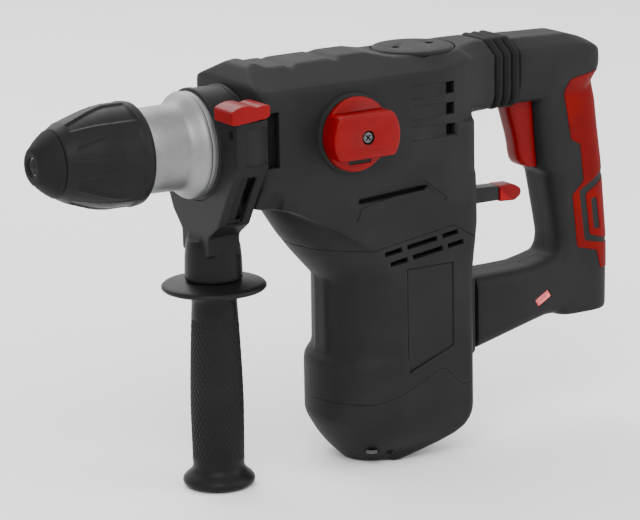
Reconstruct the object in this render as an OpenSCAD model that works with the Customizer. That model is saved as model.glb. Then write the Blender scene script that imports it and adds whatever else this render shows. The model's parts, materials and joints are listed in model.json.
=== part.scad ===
// Rotary hammer with an upright motor, a side handle and a damped rear handle.
// Frame: origin on the spindle axis at the mouth of the tool socket,
// +X from the nose to the rear handle, +Z up, the mode knob on the -Y side.

/* [Tool socket and chuck] */
// Radius of the socket that takes the tool shank
shank_r = 5.03; // [5.01:0.01:5.06]
// Depth of the socket
shank_depth = 58; // [54:1:58]
// Largest radius of the chuck sleeve
sleeve_r = 33; // [32:0.5:34]
// Rear end of the chuck sleeve
sleeve_end = 67.5; // [66:0.5:70]

/* [Gear housing] */
// Half width of the gear housing
gear_half_w = 41; // [40:0.5:43]
// Front face of the gear housing
gear_front = 134.5; // [134.5:0.5:136]
// Rear face of the gear housing
gear_rear = 298.5; // [297:0.5:300]
// Wall thickness of the plastic housings
wall = 3.5; // [2.5:0.1:4]
// Radius of the aluminium collar that carries the side handle
collar_r = 33; // [32:0.5:33]

/* [Mode knob] */
// Distance of the mode knob's axis from the nose
knob_x = 201; // [198:1:204]
// Height of the mode knob's axis above the spindle axis
knob_z = 2.7; // [0:0.1:5]
// Radius of the knob's disc
knob_r = 23.8; // [22:0.2:24]

/* [Motor] */
// Distance of the motor shaft from the nose
motor_x = 243.5; // [243:0.5:244]
// Half width of the motor housing
motor_half_w = 42.5; // [42:0.5:44]
// Height of the surface that the tool stands on
base_z = -224; // [-226:1:-223]

/* [Side handle] */
// Distance of the side handle's axis from the nose
grip_x = 122.5; // [122:0.5:123]
// Radius of the hand guard on the side handle
guard_r = 33.4; // [30:0.2:34]
// Radius of the depth rod's hole
rod_r = 3.1; // [2.6:0.1:3.6]

/* [Rear handle] */
// Half width of the rear handle
handle_half_w = 19; // [18:0.5:20]
// Radius of the hole in the cord inlet
cord_r = 4.2; // [3.5:0.1:4.5]

/* [Drive] */
// Teeth on the motor shaft
pinion_teeth = 9; // [9:2:9]
// Teeth on the crank wheel
crank_teeth = 37; // [37:2:37]
// Teeth on the wheel of the bevel shaft
bevel_wheel_teeth = 23; // [23:2:23]
// Throw of the crank
crank_throw = 7; // [6:0.5:7]

/* [Hidden] */
$fn = 64;
gap = 0.3;                  // between parts of different bodies
seat = 0.05;                // radial clearance of a fit
neck_end = 321;             // rear end of the neck behind the gear housing
oil_x = 274;                // centre of the oil cap
oil_seat = 39.9;            // height of the oil cap's seat
arm_front = 341;            // front of the rear handle's upper arm
gear_module = 1;
armature_x = motor_x;
crank_x = armature_x - (pinion_teeth + crank_teeth) / 2 * gear_module;
bevel_x = crank_x - (crank_teeth + bevel_wheel_teeth) / 2 * gear_module;
wheel_z = -58;              // underside of the spur wheels
wheel_h = 8;
tube_r = 19;                // outside of the spindle's cylinder
cyl_r = 13.5;               // bore of the spindle's cylinder
ring_r = 24;                // pitch radius of the spindle's bevel gear
bevel_r = 8;                // pitch radius of the bevel pinion
tube_end = bevel_x + 15.5;
rod_len = 38;               // connecting rod, pin to pin
wrist_x = crank_x - crank_throw - rod_len;
flange_end = 106;           // rear of the silver flange
band_x0 = 109.5;
band_x1 = 132.5;
pivot = [318, 0, -137];     // hinge of the rear handle
plate_z = -70;              // underside of the lower bearing plate

// Parting line between gear housing and motor housing, in side view
parting = [[150, -66], [161.6, -69.7], [184, -73.6], [216.4, -76.4], [277.4, -67.6], [293, -77.3],
    [302, -77.3]];
// Parting line between motor housing and end cap, in side view
cap_line = [[188, -178], [216, -179], [232, -175], [264.6, -161], [269, -161.5], [281.7, -174],
    [340, -174.5]];
// Side outline of the upper gear housing
gear_side = [[gear_front, -38], [gear_front, 38], [142, 46.8], [147, 48.4], [150, 48], [156, 45.5],
    [171, 43.7], [178, 46.3], [228, 47], [246, 42.8], [gear_rear, 42.8], [gear_rear, -77.3], [293, -77.3], [277.4, -67.6], [216.4, -76.4], [200, -75],
    [200, -45], [150, -40]];
// Cross section of the gear housing
gear_end = [[-gear_half_w, -80], [-gear_half_w, 34], [-12, 48.5], [12, 48.5], [gear_half_w, 34],
    [gear_half_w, -80]];
// Side outline of the rear handle, without its finger opening
handle_outer = [[arm_front, 0], [arm_front, 42], [387, 40], [402, 35.5], [406.5, 33], [408.5, 22],
    [407.5, 14], [410.5, 0],
    [413, -20], [416.5, -48], [419, -76], [421, -104], [421.5, -146], [418, -150], [377, -150], [368, -147],
    [310.5, -162.5], [310.5, -112.5], [356, -112.5], [372, -111], [378, -104], [378.5, -97], [375.5, -82.5],
    [372.5, -68], [370, -51], [364, -47.5], [360.5, 0.5]];
// Side outline of the handle's upper arm, which is wider than the grip
arm_side = [[arm_front, 14.5], [arm_front, 43], [385, 43], [402, 36.5], [405.5, 34], [407.5, 23],
    [404.5, 17], [377, 15.3]];
// Cross section that rounds off the top of the arm and the bellows
arm_roof = [[-26, -200], [-26, 36], [-14, 43], [14, 43], [26, 36], [26, -200]];
// Side outline of the red soft cover
soft_side = [[383, 14], [381, 8], [387, -31], [394, -34], [397.5, -58], [388.5, -68], [395, -104],
    [409, -107],
    [411.5, -120], [425, -120], [425, 14]];
// Side outline of the trigger
trigger_side = [[342, -1.1], [344.5, -12], [347.5, -26.5], [349.5, -37], [354.5, -43.8], [364, -46.5],
    [371.5, -44], [371.5, -6], [365.5, -1.1]];

// ---------- shapes that repeat ----------
module rod_x(r, x0, x1, y = 0, z = 0) {
    translate([x0, y, z]) rotate([0, 90, 0]) cylinder(r = r, h = x1 - x0);
}
module rod_y(r, y0, y1, x, z) {
    translate([x, y1, z]) rotate([90, 0, 0]) cylinder(r = r, h = y1 - y0);
}
module post(r, x, y, z0, z1) {
    translate([x, y, z0]) cylinder(r = r, h = z1 - z0);
}
module tube_x(r_out, r_in, x0, x1) {
    difference() {
        rod_x(r_out, x0, x1);
        rod_x(r_in, x0 - 1, x1 + 1);
    }
}
module ring(r_out, r_in, x, y, z0, z1) {
    difference() {
        post(r_out, x, y, z0, z1);
        post(r_in, x, y, z0 - 1, z1 + 1);
    }
}
// Solid of revolution about the spindle axis; points are [x, radius]
module turned_x(points) {
    rotate([0, 90, 0]) rotate_extrude() polygon([for (p = points) [p[1], p[0]]]);
}
// Side outline in X and Z, as wide as 2 w in Y
module side_slab(points, w, inset = 0) {
    rotate([90, 0, 0]) linear_extrude(height = 2 * w, center = true)
        if (inset == 0) polygon(points);
        else offset(delta = -inset) polygon(points);
}
// Cross section in Y and Z, from x0 to x1
module end_slab(points, x0, x1, inset = 0) {
    translate([x0, 0, 0]) rotate([90, 0, 90]) linear_extrude(height = x1 - x0)
        if (inset == 0) polygon(points);
        else offset(delta = -inset) polygon(points);
}
// Spur wheel outline with a tooth on the +X side
module gear_outline(teeth, m, tooth = 0.36, tip = 0.8) {
    pitch_r = teeth * m / 2;
    half = 180 / teeth * tooth;
    polygon([for (i = [0 : teeth - 1]) for (k = [[-1.5, -1.1], [-1, -1.1], [-0.6, tip], [0.6, tip],
        [1, -1.1], [1.5, -1.1]])
        let (a = i * 360 / teeth + k[0] * half, r = pitch_r + k[1] * m) [r * cos(a), r * sin(a)]]);
}
module spur(teeth, x, z0, z1, bore) {
    difference() {
        translate([x, 0, z0]) linear_extrude(height = z1 - z0) gear_outline(teeth, gear_module);
        post(bore, x, 0, z0 - 1, z1 + 1);
    }
}

// ---------- spindle and chuck ----------
module spindle() {
    front_r = 15.5;
    color("silver") difference() {
        turned_x([[0, 0], [0, 9], [3, 11.5], [14, 13.5], [22, front_r], [60, front_r], [60, tube_r],
            [tube_end, tube_r], [tube_end, 0]]);
        rod_x(shank_r, -1, shank_depth);
        rod_x(8.05, shank_depth, 84);
        rod_x(cyl_r, 84, tube_end + 1);
        for (side = [-1, 1]) translate([40, 0, side * 9.5]) cube([9, 7.2, 15], center = true);
    }
}
module dust_cap() {
    color([0.09, 0.09, 0.09]) turned_x([[-2, 5.6], [-2, 9], [-1.4, 11], [0.5, 12.6], [4, 16], [11.5, 21.3],
        [11.5, 19.5], [9, 17], [9, 13.2], [3, 12], [0, 10], [-0.3, 5.6]]);
}
module locking_balls() {
    color("silver") for (side = [-1, 1]) translate([40, 0, side * 9.6]) sphere(r = 3.4, $fn = 32);
}
module spindle_gear() {
    taper = (tube_r + 0.6) / ring_r;
    depth = bevel_r * (1 - taper);
    color("slategray") difference() {
        union() {
            translate([bevel_x + bevel_r, 0, 0]) rotate([0, -90, 0])
                linear_extrude(height = depth, scale = taper)
                    rotate(180 / 36) gear_outline(36, ring_r / 18, 0.3);
            rod_x(26, bevel_x + bevel_r, bevel_x + 11);
        }
        rod_x(tube_r + seat, bevel_x, bevel_x + 20);
    }
}
module chuck_sleeve() {
    color([0.1, 0.1, 0.1]) difference() {
        turned_x([[12, 0], [12, 21.6], [19, 25.5], [26.5, 27.9], [34, 30.4], [41, 32.2], [47, sleeve_r],
            [sleeve_end - 4.5, sleeve_r], [sleeve_end - 1, sleeve_r - 0.6], [sleeve_end, sleeve_r - 1.6], [sleeve_end, 0]]);
        rod_x(15.9, 11, 60);
        turned_x([[11.9, 0], [11.9, 20], [21, 20], [21, 0]]);
        rod_x(28.2, 44, sleeve_end + 1);
    }
}
module chuck_spring() {
    color("gray") for (i = [0 : 3]) translate([53.6 + 3 * i, 0, 0])
        rotate([0, 90, 0]) rotate_extrude() translate([21, 0]) circle(r = 0.9, $fn = 16);
}
module impact_bolt() {
    color("dimgray") turned_x([[62, 0], [62, 6], [64, 8], [84.5, 8], [84.5, 12], [90, 12], [93, 6],
        [104, 6], [104, 0]]);
}
module striker() {
    color("gray") difference() {
        rod_x(cyl_r - seat, 112, 136);
        for (x = [116, 129]) tube_x(cyl_r + 1, cyl_r - 1.2, x, x + 2.5);
    }
}

// ---------- crank drive ----------
module piston() {
    color("lightgray") difference() {
        rod_x(cyl_r - seat, wrist_x - 18, wrist_x + 10);
        translate([wrist_x - 9, -5.2, -10]) cube([30, 10.4, 20]);
        rod_y(3 + seat, -20, 20, wrist_x, 0);
    }
}
module wrist_pin() {
    color("silver") rod_y(3, -12.6, 12.6, wrist_x, 0);
}
module connecting_rod() {
    eye_x = wrist_x + rod_len;
    color("darkgray") difference() {
        union() {
            rod_y(6.2, -5, 5, wrist_x, 0);
            translate([wrist_x, -4, -3.5]) cube([rod_len, 8, 7]);
            post(7.5, eye_x, 0, -3.5, 3.5);
        }
        rod_y(3 + seat, -20, 20, wrist_x, 0);
        post(4, eye_x, 0, -10, 10);
    }
}
module crank_shaft() {
    color("silver") {
        post(5, crank_x, 0, plate_z + 1.7, -14);
        post(12.3, crank_x, 0, -14, -8);
        post(3.8, crank_x - crank_throw, 0, -8.5, -4.2);
    }
}
module crank_gear() {
    color("slategray") spur(crank_teeth, crank_x, wheel_z, wheel_z + wheel_h, 5 + seat);
}
module bevel_shaft() {
    color("silver") post(4, bevel_x, 0, plate_z + 1.7, -26);
}
module bevel_gear() {
    top_z = tube_r + 0.8;
    color("slategray") {
        translate([bevel_x, 0, -ring_r]) linear_extrude(height = ring_r - top_z, scale = top_z / ring_r)
            gear_outline(12, bevel_r / 6, 0.3, -0.06);
        difference() {
            union() {
                post(6.5, bevel_x, 0, -30, -ring_r);
                translate([bevel_x, 0, wheel_z]) linear_extrude(height = wheel_h)
                    gear_outline(bevel_wheel_teeth, gear_module);
            }
            post(4 + seat, bevel_x, 0, wheel_z - 1, -26);
        }
        ring(6.5, 4 + seat, bevel_x, 0, wheel_z + wheel_h, -42);
    }
}

// ---------- motor ----------
module motor_shaft() {
    color("silver") {
        post(4, armature_x, 0, -206, wheel_z - 2);
        translate([armature_x, 0, wheel_z - 2]) linear_extrude(height = wheel_h + 4)
            gear_outline(pinion_teeth, gear_module);
    }
}
module armature_core() {
    color("peru") difference() {
        post(21, armature_x, 0, -160, -106);
        post(4 + seat, armature_x, 0, -161, -105);
        for (a = [0 : 30 : 330]) translate([armature_x, 0, 0]) rotate(a)
            translate([19, -0.8, -161]) cube([4, 1.6, 57]);
    }
}
module commutator() {
    color("orange") ring(13, 4 + seat, armature_x, 0, -186, -170);
}
module cooling_fan() {
    blades = 12;
    color("black") {
        ring(9, 4 + seat, armature_x, 0, -103, -90);
        ring(33, 8.9, armature_x, 0, -92, -90);
        for (i = [0 : blades - 1]) translate([armature_x, 0, -100]) rotate(i * 360 / blades)
            translate([8.5, -0.7, 0]) cube([24, 1.4, 8.2]);
    }
}
module stator_core() {
    color("gray") difference() {
        intersection() {
            post(36, armature_x, 0, -158, -108);
            translate([armature_x - 36, -32, -160]) cube([72, 64, 60]);
        }
        post(22, armature_x, 0, -160, -100);
        for (side = [-1, 1]) translate([armature_x - 16, side * 25 - 4, -161]) cube([32, 8, 60]);
    }
}
module field_coils() {
    color("peru") for (side = [-1, 1]) translate([armature_x - 15.6, side * 25 - 3.6, -166])
        cube([31.2, 7.2, 64]);
}
module brush_holders() {
    color("goldenrod") for (side = [-1, 1]) difference() {
        translate([armature_x - 5, side * 26.5 - 9, -184]) cube([10, 18, 12]);
        translate([armature_x - 3.2, side * 26.5 - 11, -181.5]) cube([6.4, 22, 7]);
    }
}
module carbon_brushes() {
    color("dimgray") for (side = [-1, 1]) translate([armature_x - 3, side * 22 - 8.6, -181.3])
        cube([6, 17.2, 6.6]);
}

// ---------- housings ----------
module barrel() {
    color([0.72, 0.73, 0.74]) difference() {
        turned_x([[66, 0], [66, 25], [68, 26.7], [94, 26.9], [97, 28.5], [101, 31.6], [104, 33.8],
            [flange_end - 1, 33.9], [flange_end - 1, 32.6], [flange_end, 32.6], [flange_end, 33.4],
            [band_x0 - 0.6, 33.4], [band_x0 - 0.6, collar_r], [gear_front + 12, collar_r],
            [gear_front + 12, 30], [160, 30], [160, 0]]);
        rod_x(tube_r + 0.4, 60, 170);
        rod_x(23.1, 66 - 1, 73);
        rod_x(25.5, 148, 170);
    }
}
module spindle_seal() {
    color([0.06, 0.06, 0.06]) tube_x(23, tube_r + 0.1, 66.5, 72.5);
}
// Front of the body where gear housing and motor housing meet
module nose_blend(inset = 0) {
    hull() {
        translate([198, 0, -46]) cylinder(r = 38 - inset, h = 1, $fn = 32);
        translate([motor_x, 0, -98]) cylinder(r = motor_half_w - inset, h = 1, $fn = 32);
    }
}
module gear_form(inset = 0) {
    intersection() {
        side_slab(gear_side, 60, inset);
        end_slab(gear_end, 100, 320, inset);
    }
}
module below(line, drop) {
    side_slab(concat([for (p = line) p + [0, -drop]], [[line[len(line) - 1][0], -300], [line[0][0],
        -300]]), 80);
}
module above(line) {
    side_slab(concat(line, [[line[len(line) - 1][0], 100], [line[0][0], 100]]), 80);
}
// Cross section of the neck that carries the bellows
neck_section = [[-26, 4], [-26, 36], [-13, 44.5], [13, 44.5], [26, 36], [26, 4], [20, -1.5], [-20, -1.5]];
module gear_housing() {
    color([0.17, 0.17, 0.175]) difference() {
        union() {
            gear_form();
            intersection() {
                nose_blend();
                above(parting);
            }
            end_slab(neck_section, gear_rear - 5, neck_end);
        }
        end_slab(neck_section, gear_rear + wall, neck_end + 1, wall);
        // the inside leaves a boss under the oil cap
        difference() {
            gear_form(wall);
            post(29, oil_x, 0, oil_seat - wall, 60);
        }
        nose_blend(wall);
        post(31, 206, 0, -52, -36);
        translate([motor_x, 0, -100]) cylinder(r = motor_half_w - wall, h = 40);
        translate([motor_x, -37.5, -100]) cube([gear_rear - wall - motor_x, 75, 40]);
        rod_x(collar_r + seat, 100, 150);
        // notch beside the handle clamp
        translate([gear_front - 1, -50, -13]) cube([15, 14, 35]);
        // oil cap seat and filler hole
        post(27.4, oil_x, 0, oil_seat, 60);
        post(19, oil_x, 0, 30, 60);
        // mode knob shaft
        rod_y(6.3, -60, -20, knob_x, knob_z);
        // rear lever slot
        translate([gear_rear - 10, -27, -64]) cube([20, 22, 15]);
        // cooling air slots
        for (z = [22.5, 9, -4.5]) translate([272.5, -50, z - 3.8]) cube([7, 15, 7.6]);
        translate([206, -50, -44]) cube([56, 20, 4]);
    }
}
module motor_plan(r, half_w, x_front_c, x_rear) {
    translate([x_front_c, 0]) circle(r = r);
    polygon([[x_front_c, r], [x_rear - 4, half_w], [x_rear, half_w - 4], [x_rear, 4 - half_w],
        [x_rear - 4, -half_w], [x_front_c, -r]]);
}
module motor_form(inset = 0) {
    r = motor_half_w;
    translate([0, 0, -182]) linear_extrude(height = 122)
        motor_plan(r - inset, r - inset, motor_x, 293.5 - inset);
}
module flare_form(inset, z0, z1) {
    translate([0, 0, z0]) linear_extrude(height = z1 - z0)
        motor_plan(44 - inset, motor_half_w - inset, 238.5, 293.5 - inset);
}
module motor_housing() {
    boss_w = 17;
    color([0.17, 0.17, 0.175]) difference() {
        intersection() {
            union() {
                nose_blend();
                motor_form();
                flare_form(0, -182, -152);
                translate([280, -boss_w, -165]) cube([29, 2 * boss_w, 54]);
                translate([300, -8, -147]) cube([27.5, 16, 20]);
            }
            union() {
                below(parting, gap);
                translate([296, -30, -170]) cube([60, 60, 80]);
            }
            above(cap_line);
        }
        nose_blend(wall);
        motor_form(wall);
        flare_form(wall, -190, -155);
        rod_y(4 + seat, -30, 30, pivot[0], pivot[2]);
        // label recess
        label_form(0.15, 2);
        // cooling air slots, two rows that follow the parting line
        for (row = [0, 1]) for (k = [[0, 13], [17, 23], [44, 12]])
            translate([225 + 4 * row, -50, -81.5 - 7 * row]) rotate([0, -8, 0])
                translate([k[0], 0, 0]) cube([k[1], 14, 3]);
    }
}
module label_form(clear, depth) {
    translate([0, -motor_half_w + 1.2, 0]) rotate([90, 0, 0]) linear_extrude(height = depth)
        polygon([[241 - clear, -92 + clear], [275 + clear, -92 + clear], [275 + clear, -146.5 - clear],
            [241 - clear, -159.5 - clear]]);
}
module label_plate() {
    color([0.13, 0.13, 0.13]) translate([0, -0.1, 0]) label_form(0, 0.8);
}
module end_cap_form(inset) {
    r = 44 - inset;
    i = inset;
    intersection() {
        flare_form(inset, base_z + inset, -150);
        side_slab([[194 + i, -150], [194.5 + i, -191], [199.5 + i, -202], [204 + i, -210],
            [209.5 + i, -218],
            [217 + i, base_z + i], [256 - i, base_z + i], [281 - i, -213 + i / 2], [289 - i, -204],
            [294 - i, -192], [296 - i, -150]], 60);
        end_slab([[-r, -150], [-r, -202], [-28 + i, base_z + i], [28 - i, base_z + i], [r, -202],
            [r, -150]], 180, 300);
    }
}
module motor_end_cap() {
    screw_spots = [[222, 26], [222, -26], [268, 26], [268, -26]];
    color([0.15, 0.15, 0.155]) difference() {
        intersection() {
            end_cap_form(0);
            below(cap_line, gap);
        }
        difference() {
            end_cap_form(wall);
            post(16, armature_x, 0, -230, -200);
            for (p = screw_spots) post(5, p[0], p[1], -230, -190);
        }
        post(11 + seat, armature_x, 0, -208, -190);
        for (p = screw_spots) {
            post(2.2, p[0], p[1], -240, -150);
            post(4.2, p[0], p[1], -240, -211.8);
        }
    }
}
module end_cap_screws() {
    color("gray") for (p = [[222, 26], [222, -26], [268, 26], [268, -26]]) difference() {
        union() {
            post(2.1, p[0], p[1], -211.9, -182);
            post(4, p[0], p[1], -214.4, -211.9);
        }
        post(1.6, p[0], p[1], -216, -212.6);
    }
}
module housing_screws() {
    color("gray") for (p = [[285, 31], [285, -31]]) {
        post(2.1, p[0], p[1], -105, -52);
        post(4, p[0], p[1], -108, -105);
    }
}
module plate_form(z0, z1, x0) {
    translate([0, 0, z0]) linear_extrude(height = z1 - z0) intersection() {
        motor_plan(34, 34, 217, 290);
        translate([x0, -40]) square([274 - x0, 80]);
    }
}
module lower_bearing_plate() {
    color("silver") difference() {
        union() {
            plate_form(plate_z, -60, 181);
            post(13.5, armature_x, 0, -80, plate_z);
        }
        post(13 - seat, crank_x, 0, plate_z + 1.5, -55);
        post(6.9, bevel_x, 0, plate_z + 1.5, -55);
        post(5.6, armature_x, 0, -90, -55);
        post(11, armature_x, 0, -90, -72);
    }
}
module upper_bearing_plate() {
    color("silver") difference() {
        translate([0, 0, -38]) linear_extrude(height = 8) intersection() {
            translate([bevel_x - 12, -34]) square([60, 68]);
            translate([198, 0]) circle(r = 37);
        }
        post(13 + seat, crank_x, 0, -40, -20);
        post(6.9, bevel_x, 0, -40, -20);
    }
}
module bearing(x, z0, z1, r_in, r_out) {
    difference() {
        post(r_out, x, 0, z0, z1);
        post(r_in, x, 0, z0 - 1, z1 + 1);
        for (z = [z0 - 1, z1 - 0.6]) ring(r_out - 1.6, r_in + 1.6, x, 0, z, z + 1.6);
    }
}
module spindle_bearings() {
    color("lightsteelblue") {
        tube_x(25.4, tube_r + seat, 148.5, 157);
        tube_x(26, tube_r + seat, tube_end - 4, tube_end - 0.5);
    }
}
module crank_bearings() {
    color("lightsteelblue") {
        bearing(crank_x, plate_z + 1.6, -61, 5 + seat, 12.85);
        bearing(crank_x, -37.5, -31, 5 + seat, 12.9);
    }
}
module bevel_bearings() {
    color("lightsteelblue") {
        bearing(bevel_x, plate_z + 1.6, -61, 4 + seat, 6.8);
        bearing(bevel_x, -37.5, -31.5, 4 + seat, 6.8);
    }
}
module motor_bearings() {
    color("lightsteelblue") {
        bearing(armature_x, -79.5, -72.2, 4 + seat, 10.9);
        bearing(armature_x, -207, -200, 4 + seat, 10.9);
    }
}
module oil_cap() {
    color([0.14, 0.14, 0.14]) difference() {
        union() {
            post(27, oil_x, 0, oil_seat + 1.1, oil_seat + 4.3);
            post(18.6, oil_x, 0, oil_seat - 5.8, oil_seat + 1.2);
        }
        for (side = [-1, 1]) post(2.6, oil_x + 13 * side, 0, oil_seat + 1.8, 50);
        post(15, oil_x, 0, 30, oil_seat - 1.8);
    }
}
module oil_cap_seal() {
    color([0.05, 0.05, 0.05]) ring(26.5, 19.2, oil_x, 0, oil_seat + 0.05,
        oil_seat + 1.05);
}
module knob_bezel() {
    color([0.13, 0.13, 0.14]) difference() {
        rod_y(25.6, -gear_half_w - 3.4, -gear_half_w - 0.05, knob_x, knob_z);
        rod_y(6.3, -60, -20, knob_x, knob_z);
    }
}
module mode_knob() {
    color([0.6, 0.03, 0.07]) difference() {
        union() {
            rod_y(knob_r, -48.6, -gear_half_w - 3.7, knob_x, knob_z);
            intersection() {
                rod_y(24.4, -61, -47, knob_x, knob_z);
                translate([knob_x - 30, -62, knob_z - 13.6]) cube([60, 20, 28.4]);
            }
            rod_y(6, -45, -33, knob_x, knob_z);
        }
        rod_y(4.4, -62, -58.4, knob_x, knob_z);
        rod_y(1.9, -62, -30, knob_x, knob_z);
        translate([knob_x - 7, -50, knob_z - 18.4]) cube([16, 3, 3.4]);
    }
}
module mode_knob_screw() {
    color("dimgray") difference() {
        union() {
            rod_y(3.9, -60.8, -58.5, knob_x, knob_z);
            rod_y(1.8, -58.6, -34, knob_x, knob_z);
        }
        for (a = [0, 90]) translate([knob_x, -61, knob_z]) rotate([0, a, 0]) cube([4.4, 2.4, 0.9],
            center = true);
    }
}
module selector_lever() {
    color([0.08, 0.08, 0.08]) difference() {
        translate([0, -16, 0]) union() {
            side_slab([[283, -61], [283, -50.5], [326, -52.6], [326, -61.8]], 6);
            post(6, 285, 0, -62, -50);
        }
        post(2.5, 285, -16, -80, -40);
    }
}
module selector_tip() {
    color([0.75, 0, 0.05]) translate([0, -16, 0]) intersection() {
        side_slab([[326.1, -62.5], [326.1, -51.8], [338, -52.4], [343, -55], [343, -60.5],
            [338, -63.2]], 7);
        post(25, 318, 0, -70, -40);
    }
}

// ---------- side handle ----------
module clamp_band() {
    color([0.12, 0.12, 0.12]) tube_x(35.4, collar_r + 0.1, band_x0, band_x1);
}
module clamp_yoke() {
    color([0.12, 0.12, 0.125]) difference() {
        union() {
            end_slab([[-55, -8], [-55, 22], [-30, 22], [-30, -20], [30, -20], [36, -30], [28, -46],
                [17, -57],
                [17, -88], [-17, -88], [-17, -57], [-30, -48], [-42, -26]], band_x0 + 0.5, band_x1);
            post(18.5, grip_x, 0, -88, -62);
        }
        rod_x(35.6, 100, 150);
        rod_x(rod_r, 100, 150, -48, 13.5);
        post(4.3, grip_x, 0, -100, -40);
        translate([grip_x - 6.7, -6.7, -78]) cube([13.4, 13.4, 40]);
        // ribs
        for (side = [-1, 1]) translate([band_x0 - 1, side * 33 - 4, -20]) cube([7, 8, 18]);
        // button pocket
        translate([grip_x - 6, -46, 16.5]) cube([12, 8, 7]);
    }
}
module clamp_bolt() {
    color("silver") {
        post(4, grip_x, 0, -170, -77.9);
        translate([grip_x - 6.4, -6.4, -77.9]) cube([12.8, 12.8, 5.5]);
    }
}
module depth_button() {
    color([0.8, 0, 0.03]) {
        difference() {
            translate([106.5, -56.5, 22.2]) cube([27, 22.5, 10]);
            translate([109, -55.6, 20]) cube([30, 25, 4.6]);
            translate([100, -60, 29.5]) cube([12, 40, 5]);
        }
        translate([grip_x - 5.6, -45.6, 19.2]) cube([11.2, 7.2, 6]);
    }
}
module side_grip() {
    color([0.09, 0.09, 0.09]) translate([grip_x, 0, 0]) difference() {
        rotate_extrude() polygon([[0, -88.4], [18.5, -88.4], [guard_r - 1.5, -90.6], [guard_r, -92],
            [guard_r, -93.4], [guard_r - 2, -94.2], [17, -97.5], [14.5, -101], [14.6, -110], [16.2, -125],
            [17.1, -147], [17, -195], [16.4, -211], [18, -213.6], [22.4, -217], [23.2, -219.6],
            [22.2, -222.4], [19.5, base_z], [0, base_z]]);
        translate([0, 0, -175]) cylinder(r = 4.6, h = 100);
        translate([0, 0, -140]) cylinder(r = 8.1, h = 8, $fn = 6);
    }
}
module grip_nut() {
    color("silver") difference() {
        translate([grip_x, 0, -139.8]) cylinder(r = 7.9, h = 7.6, $fn = 6);
        post(4 + seat, grip_x, 0, -150, -120);
    }
}

// ---------- rear handle ----------
// Three narrow ribs, with room behind them for the handle's travel
module bellows() {
    pitch = 5.6;
    rib = 3.6;
    start = neck_end + 1.2;
    color([0.07, 0.07, 0.07]) difference() {
        union() {
            end_slab(neck_section, neck_end + seat, start + 2 * pitch + rib, 2.5);
            for (i = [0 : 2]) end_slab(neck_section, start + i * pitch, start + i * pitch + rib, -1);
        }
        end_slab(neck_section, neck_end - 1, start + 3 * pitch, 5);
    }
}
module damper_spring() {
    color("gray") for (i = [0 : 6]) translate([303.4 + 4.8 * i, 0, 20])
        rotate([0, 90, 0]) rotate_extrude() translate([7, 0]) circle(r = 1.1, $fn = 16);
}
module pivot_pin() {
    color("silver") rod_y(4, -15.5, 15.5, pivot[0], pivot[2]);
}
module soft_grip() {
    color([0.6, 0, 0.02]) difference() {
        intersection() {
            side_slab(soft_side, 30, 0.2);
            side_slab(handle_outer, handle_half_w);
        }
        side_slab(handle_outer, handle_half_w - 2.2, 2.5);
    }
}
module handle_form(inset = 0) {
    intersection() {
        union() {
            side_slab(handle_outer, handle_half_w - inset, inset);
            side_slab(arm_side, 26 - inset, inset);
        }
        end_slab(arm_roof, 300, 430, inset);
    }
}
module handle_shell(side) {
    difference() {
        intersection() {
            handle_form();
            translate([300, side > 0 ? 0.03 : -40, -170]) cube([140, 39.97, 230]);
        }
        handle_form(3);
        difference() {
            side_slab(soft_side, 22);
            side_slab(handle_outer, handle_half_w - 2.6, 2.9);
        }
        // front of the upper arm is open into the bellows
        translate([arm_front - 3, -16, 5]) cube([9, 32, 27]);
        // slot for the housing's pivot tongue
        translate([305, -8.6, -148.5]) cube([26, 17.2, 23]);
        rod_y(4 + seat, -15.6, 15.6, pivot[0], pivot[2]);
        // trigger opening
        translate([353.5, -9.4, -47.2]) cube([21, 18.8, 47.4]);
        // lamp window
        lamp_form(0.1, 6);
        post(9.1, 395, 0, -160, -130);
    }
}
module handle_right() {
    color([0.17, 0.17, 0.175]) handle_shell(1);
}
module handle_left() {
    color([0.16, 0.16, 0.17]) handle_shell(-1);
}
module lamp_form(clear, depth) {
    translate([363.5, -handle_half_w + 3.2, -134.5]) rotate([0, -30, 0])
        translate([-6 - clear, -depth, -2.8 - clear]) cube([12 + 2 * clear, depth, 5.6 + 2 * clear]);
}
module power_lamp() {
    color([0.8, 0, 0.1, 0.8]) lamp_form(0, 3.6);
}
module trigger() {
    color([0.65, 0.03, 0.08]) difference() {
        side_slab(trigger_side, 8.8);
        rod_y(2, -20, 20, 367.5, -5);
    }
}
module switch_body() {
    color("black") translate([377, -11, -40]) cube([22, 22, 30]);
}
module cord_inlet() {
    color([0.05, 0.05, 0.05]) ring(9, cord_r, 395, 0, -149.8, -135);
}

spindle();
dust_cap();
locking_balls();
spindle_gear();
chuck_sleeve();
chuck_spring();
impact_bolt();
striker();
piston();
wrist_pin();
connecting_rod();
crank_shaft();
crank_gear();
bevel_shaft();
bevel_gear();
motor_shaft();
armature_core();
commutator();
cooling_fan();
barrel();
spindle_seal();
gear_housing();
upper_bearing_plate();
lower_bearing_plate();
spindle_bearings();
crank_bearings();
bevel_bearings();
motor_bearings();
oil_cap();
oil_cap_seal();
knob_bezel();
mode_knob();
mode_knob_screw();
selector_lever();
selector_tip();
motor_housing();
label_plate();
stator_core();
field_coils();
brush_holders();
carbon_brushes();
motor_end_cap();
end_cap_screws();
housing_screws();
clamp_band();
clamp_yoke();
clamp_bolt();
depth_button();
side_grip();
grip_nut();
bellows();
damper_spring();
pivot_pin();
handle_left();
handle_right();
soft_grip();
trigger();
switch_body();
power_lamp();
cord_inlet();
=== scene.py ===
import json
import math

import bmesh
import bpy
from bpy.props import FloatProperty, FloatVectorProperty, IntProperty, PointerProperty
from mathutils import Matrix, Vector


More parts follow.
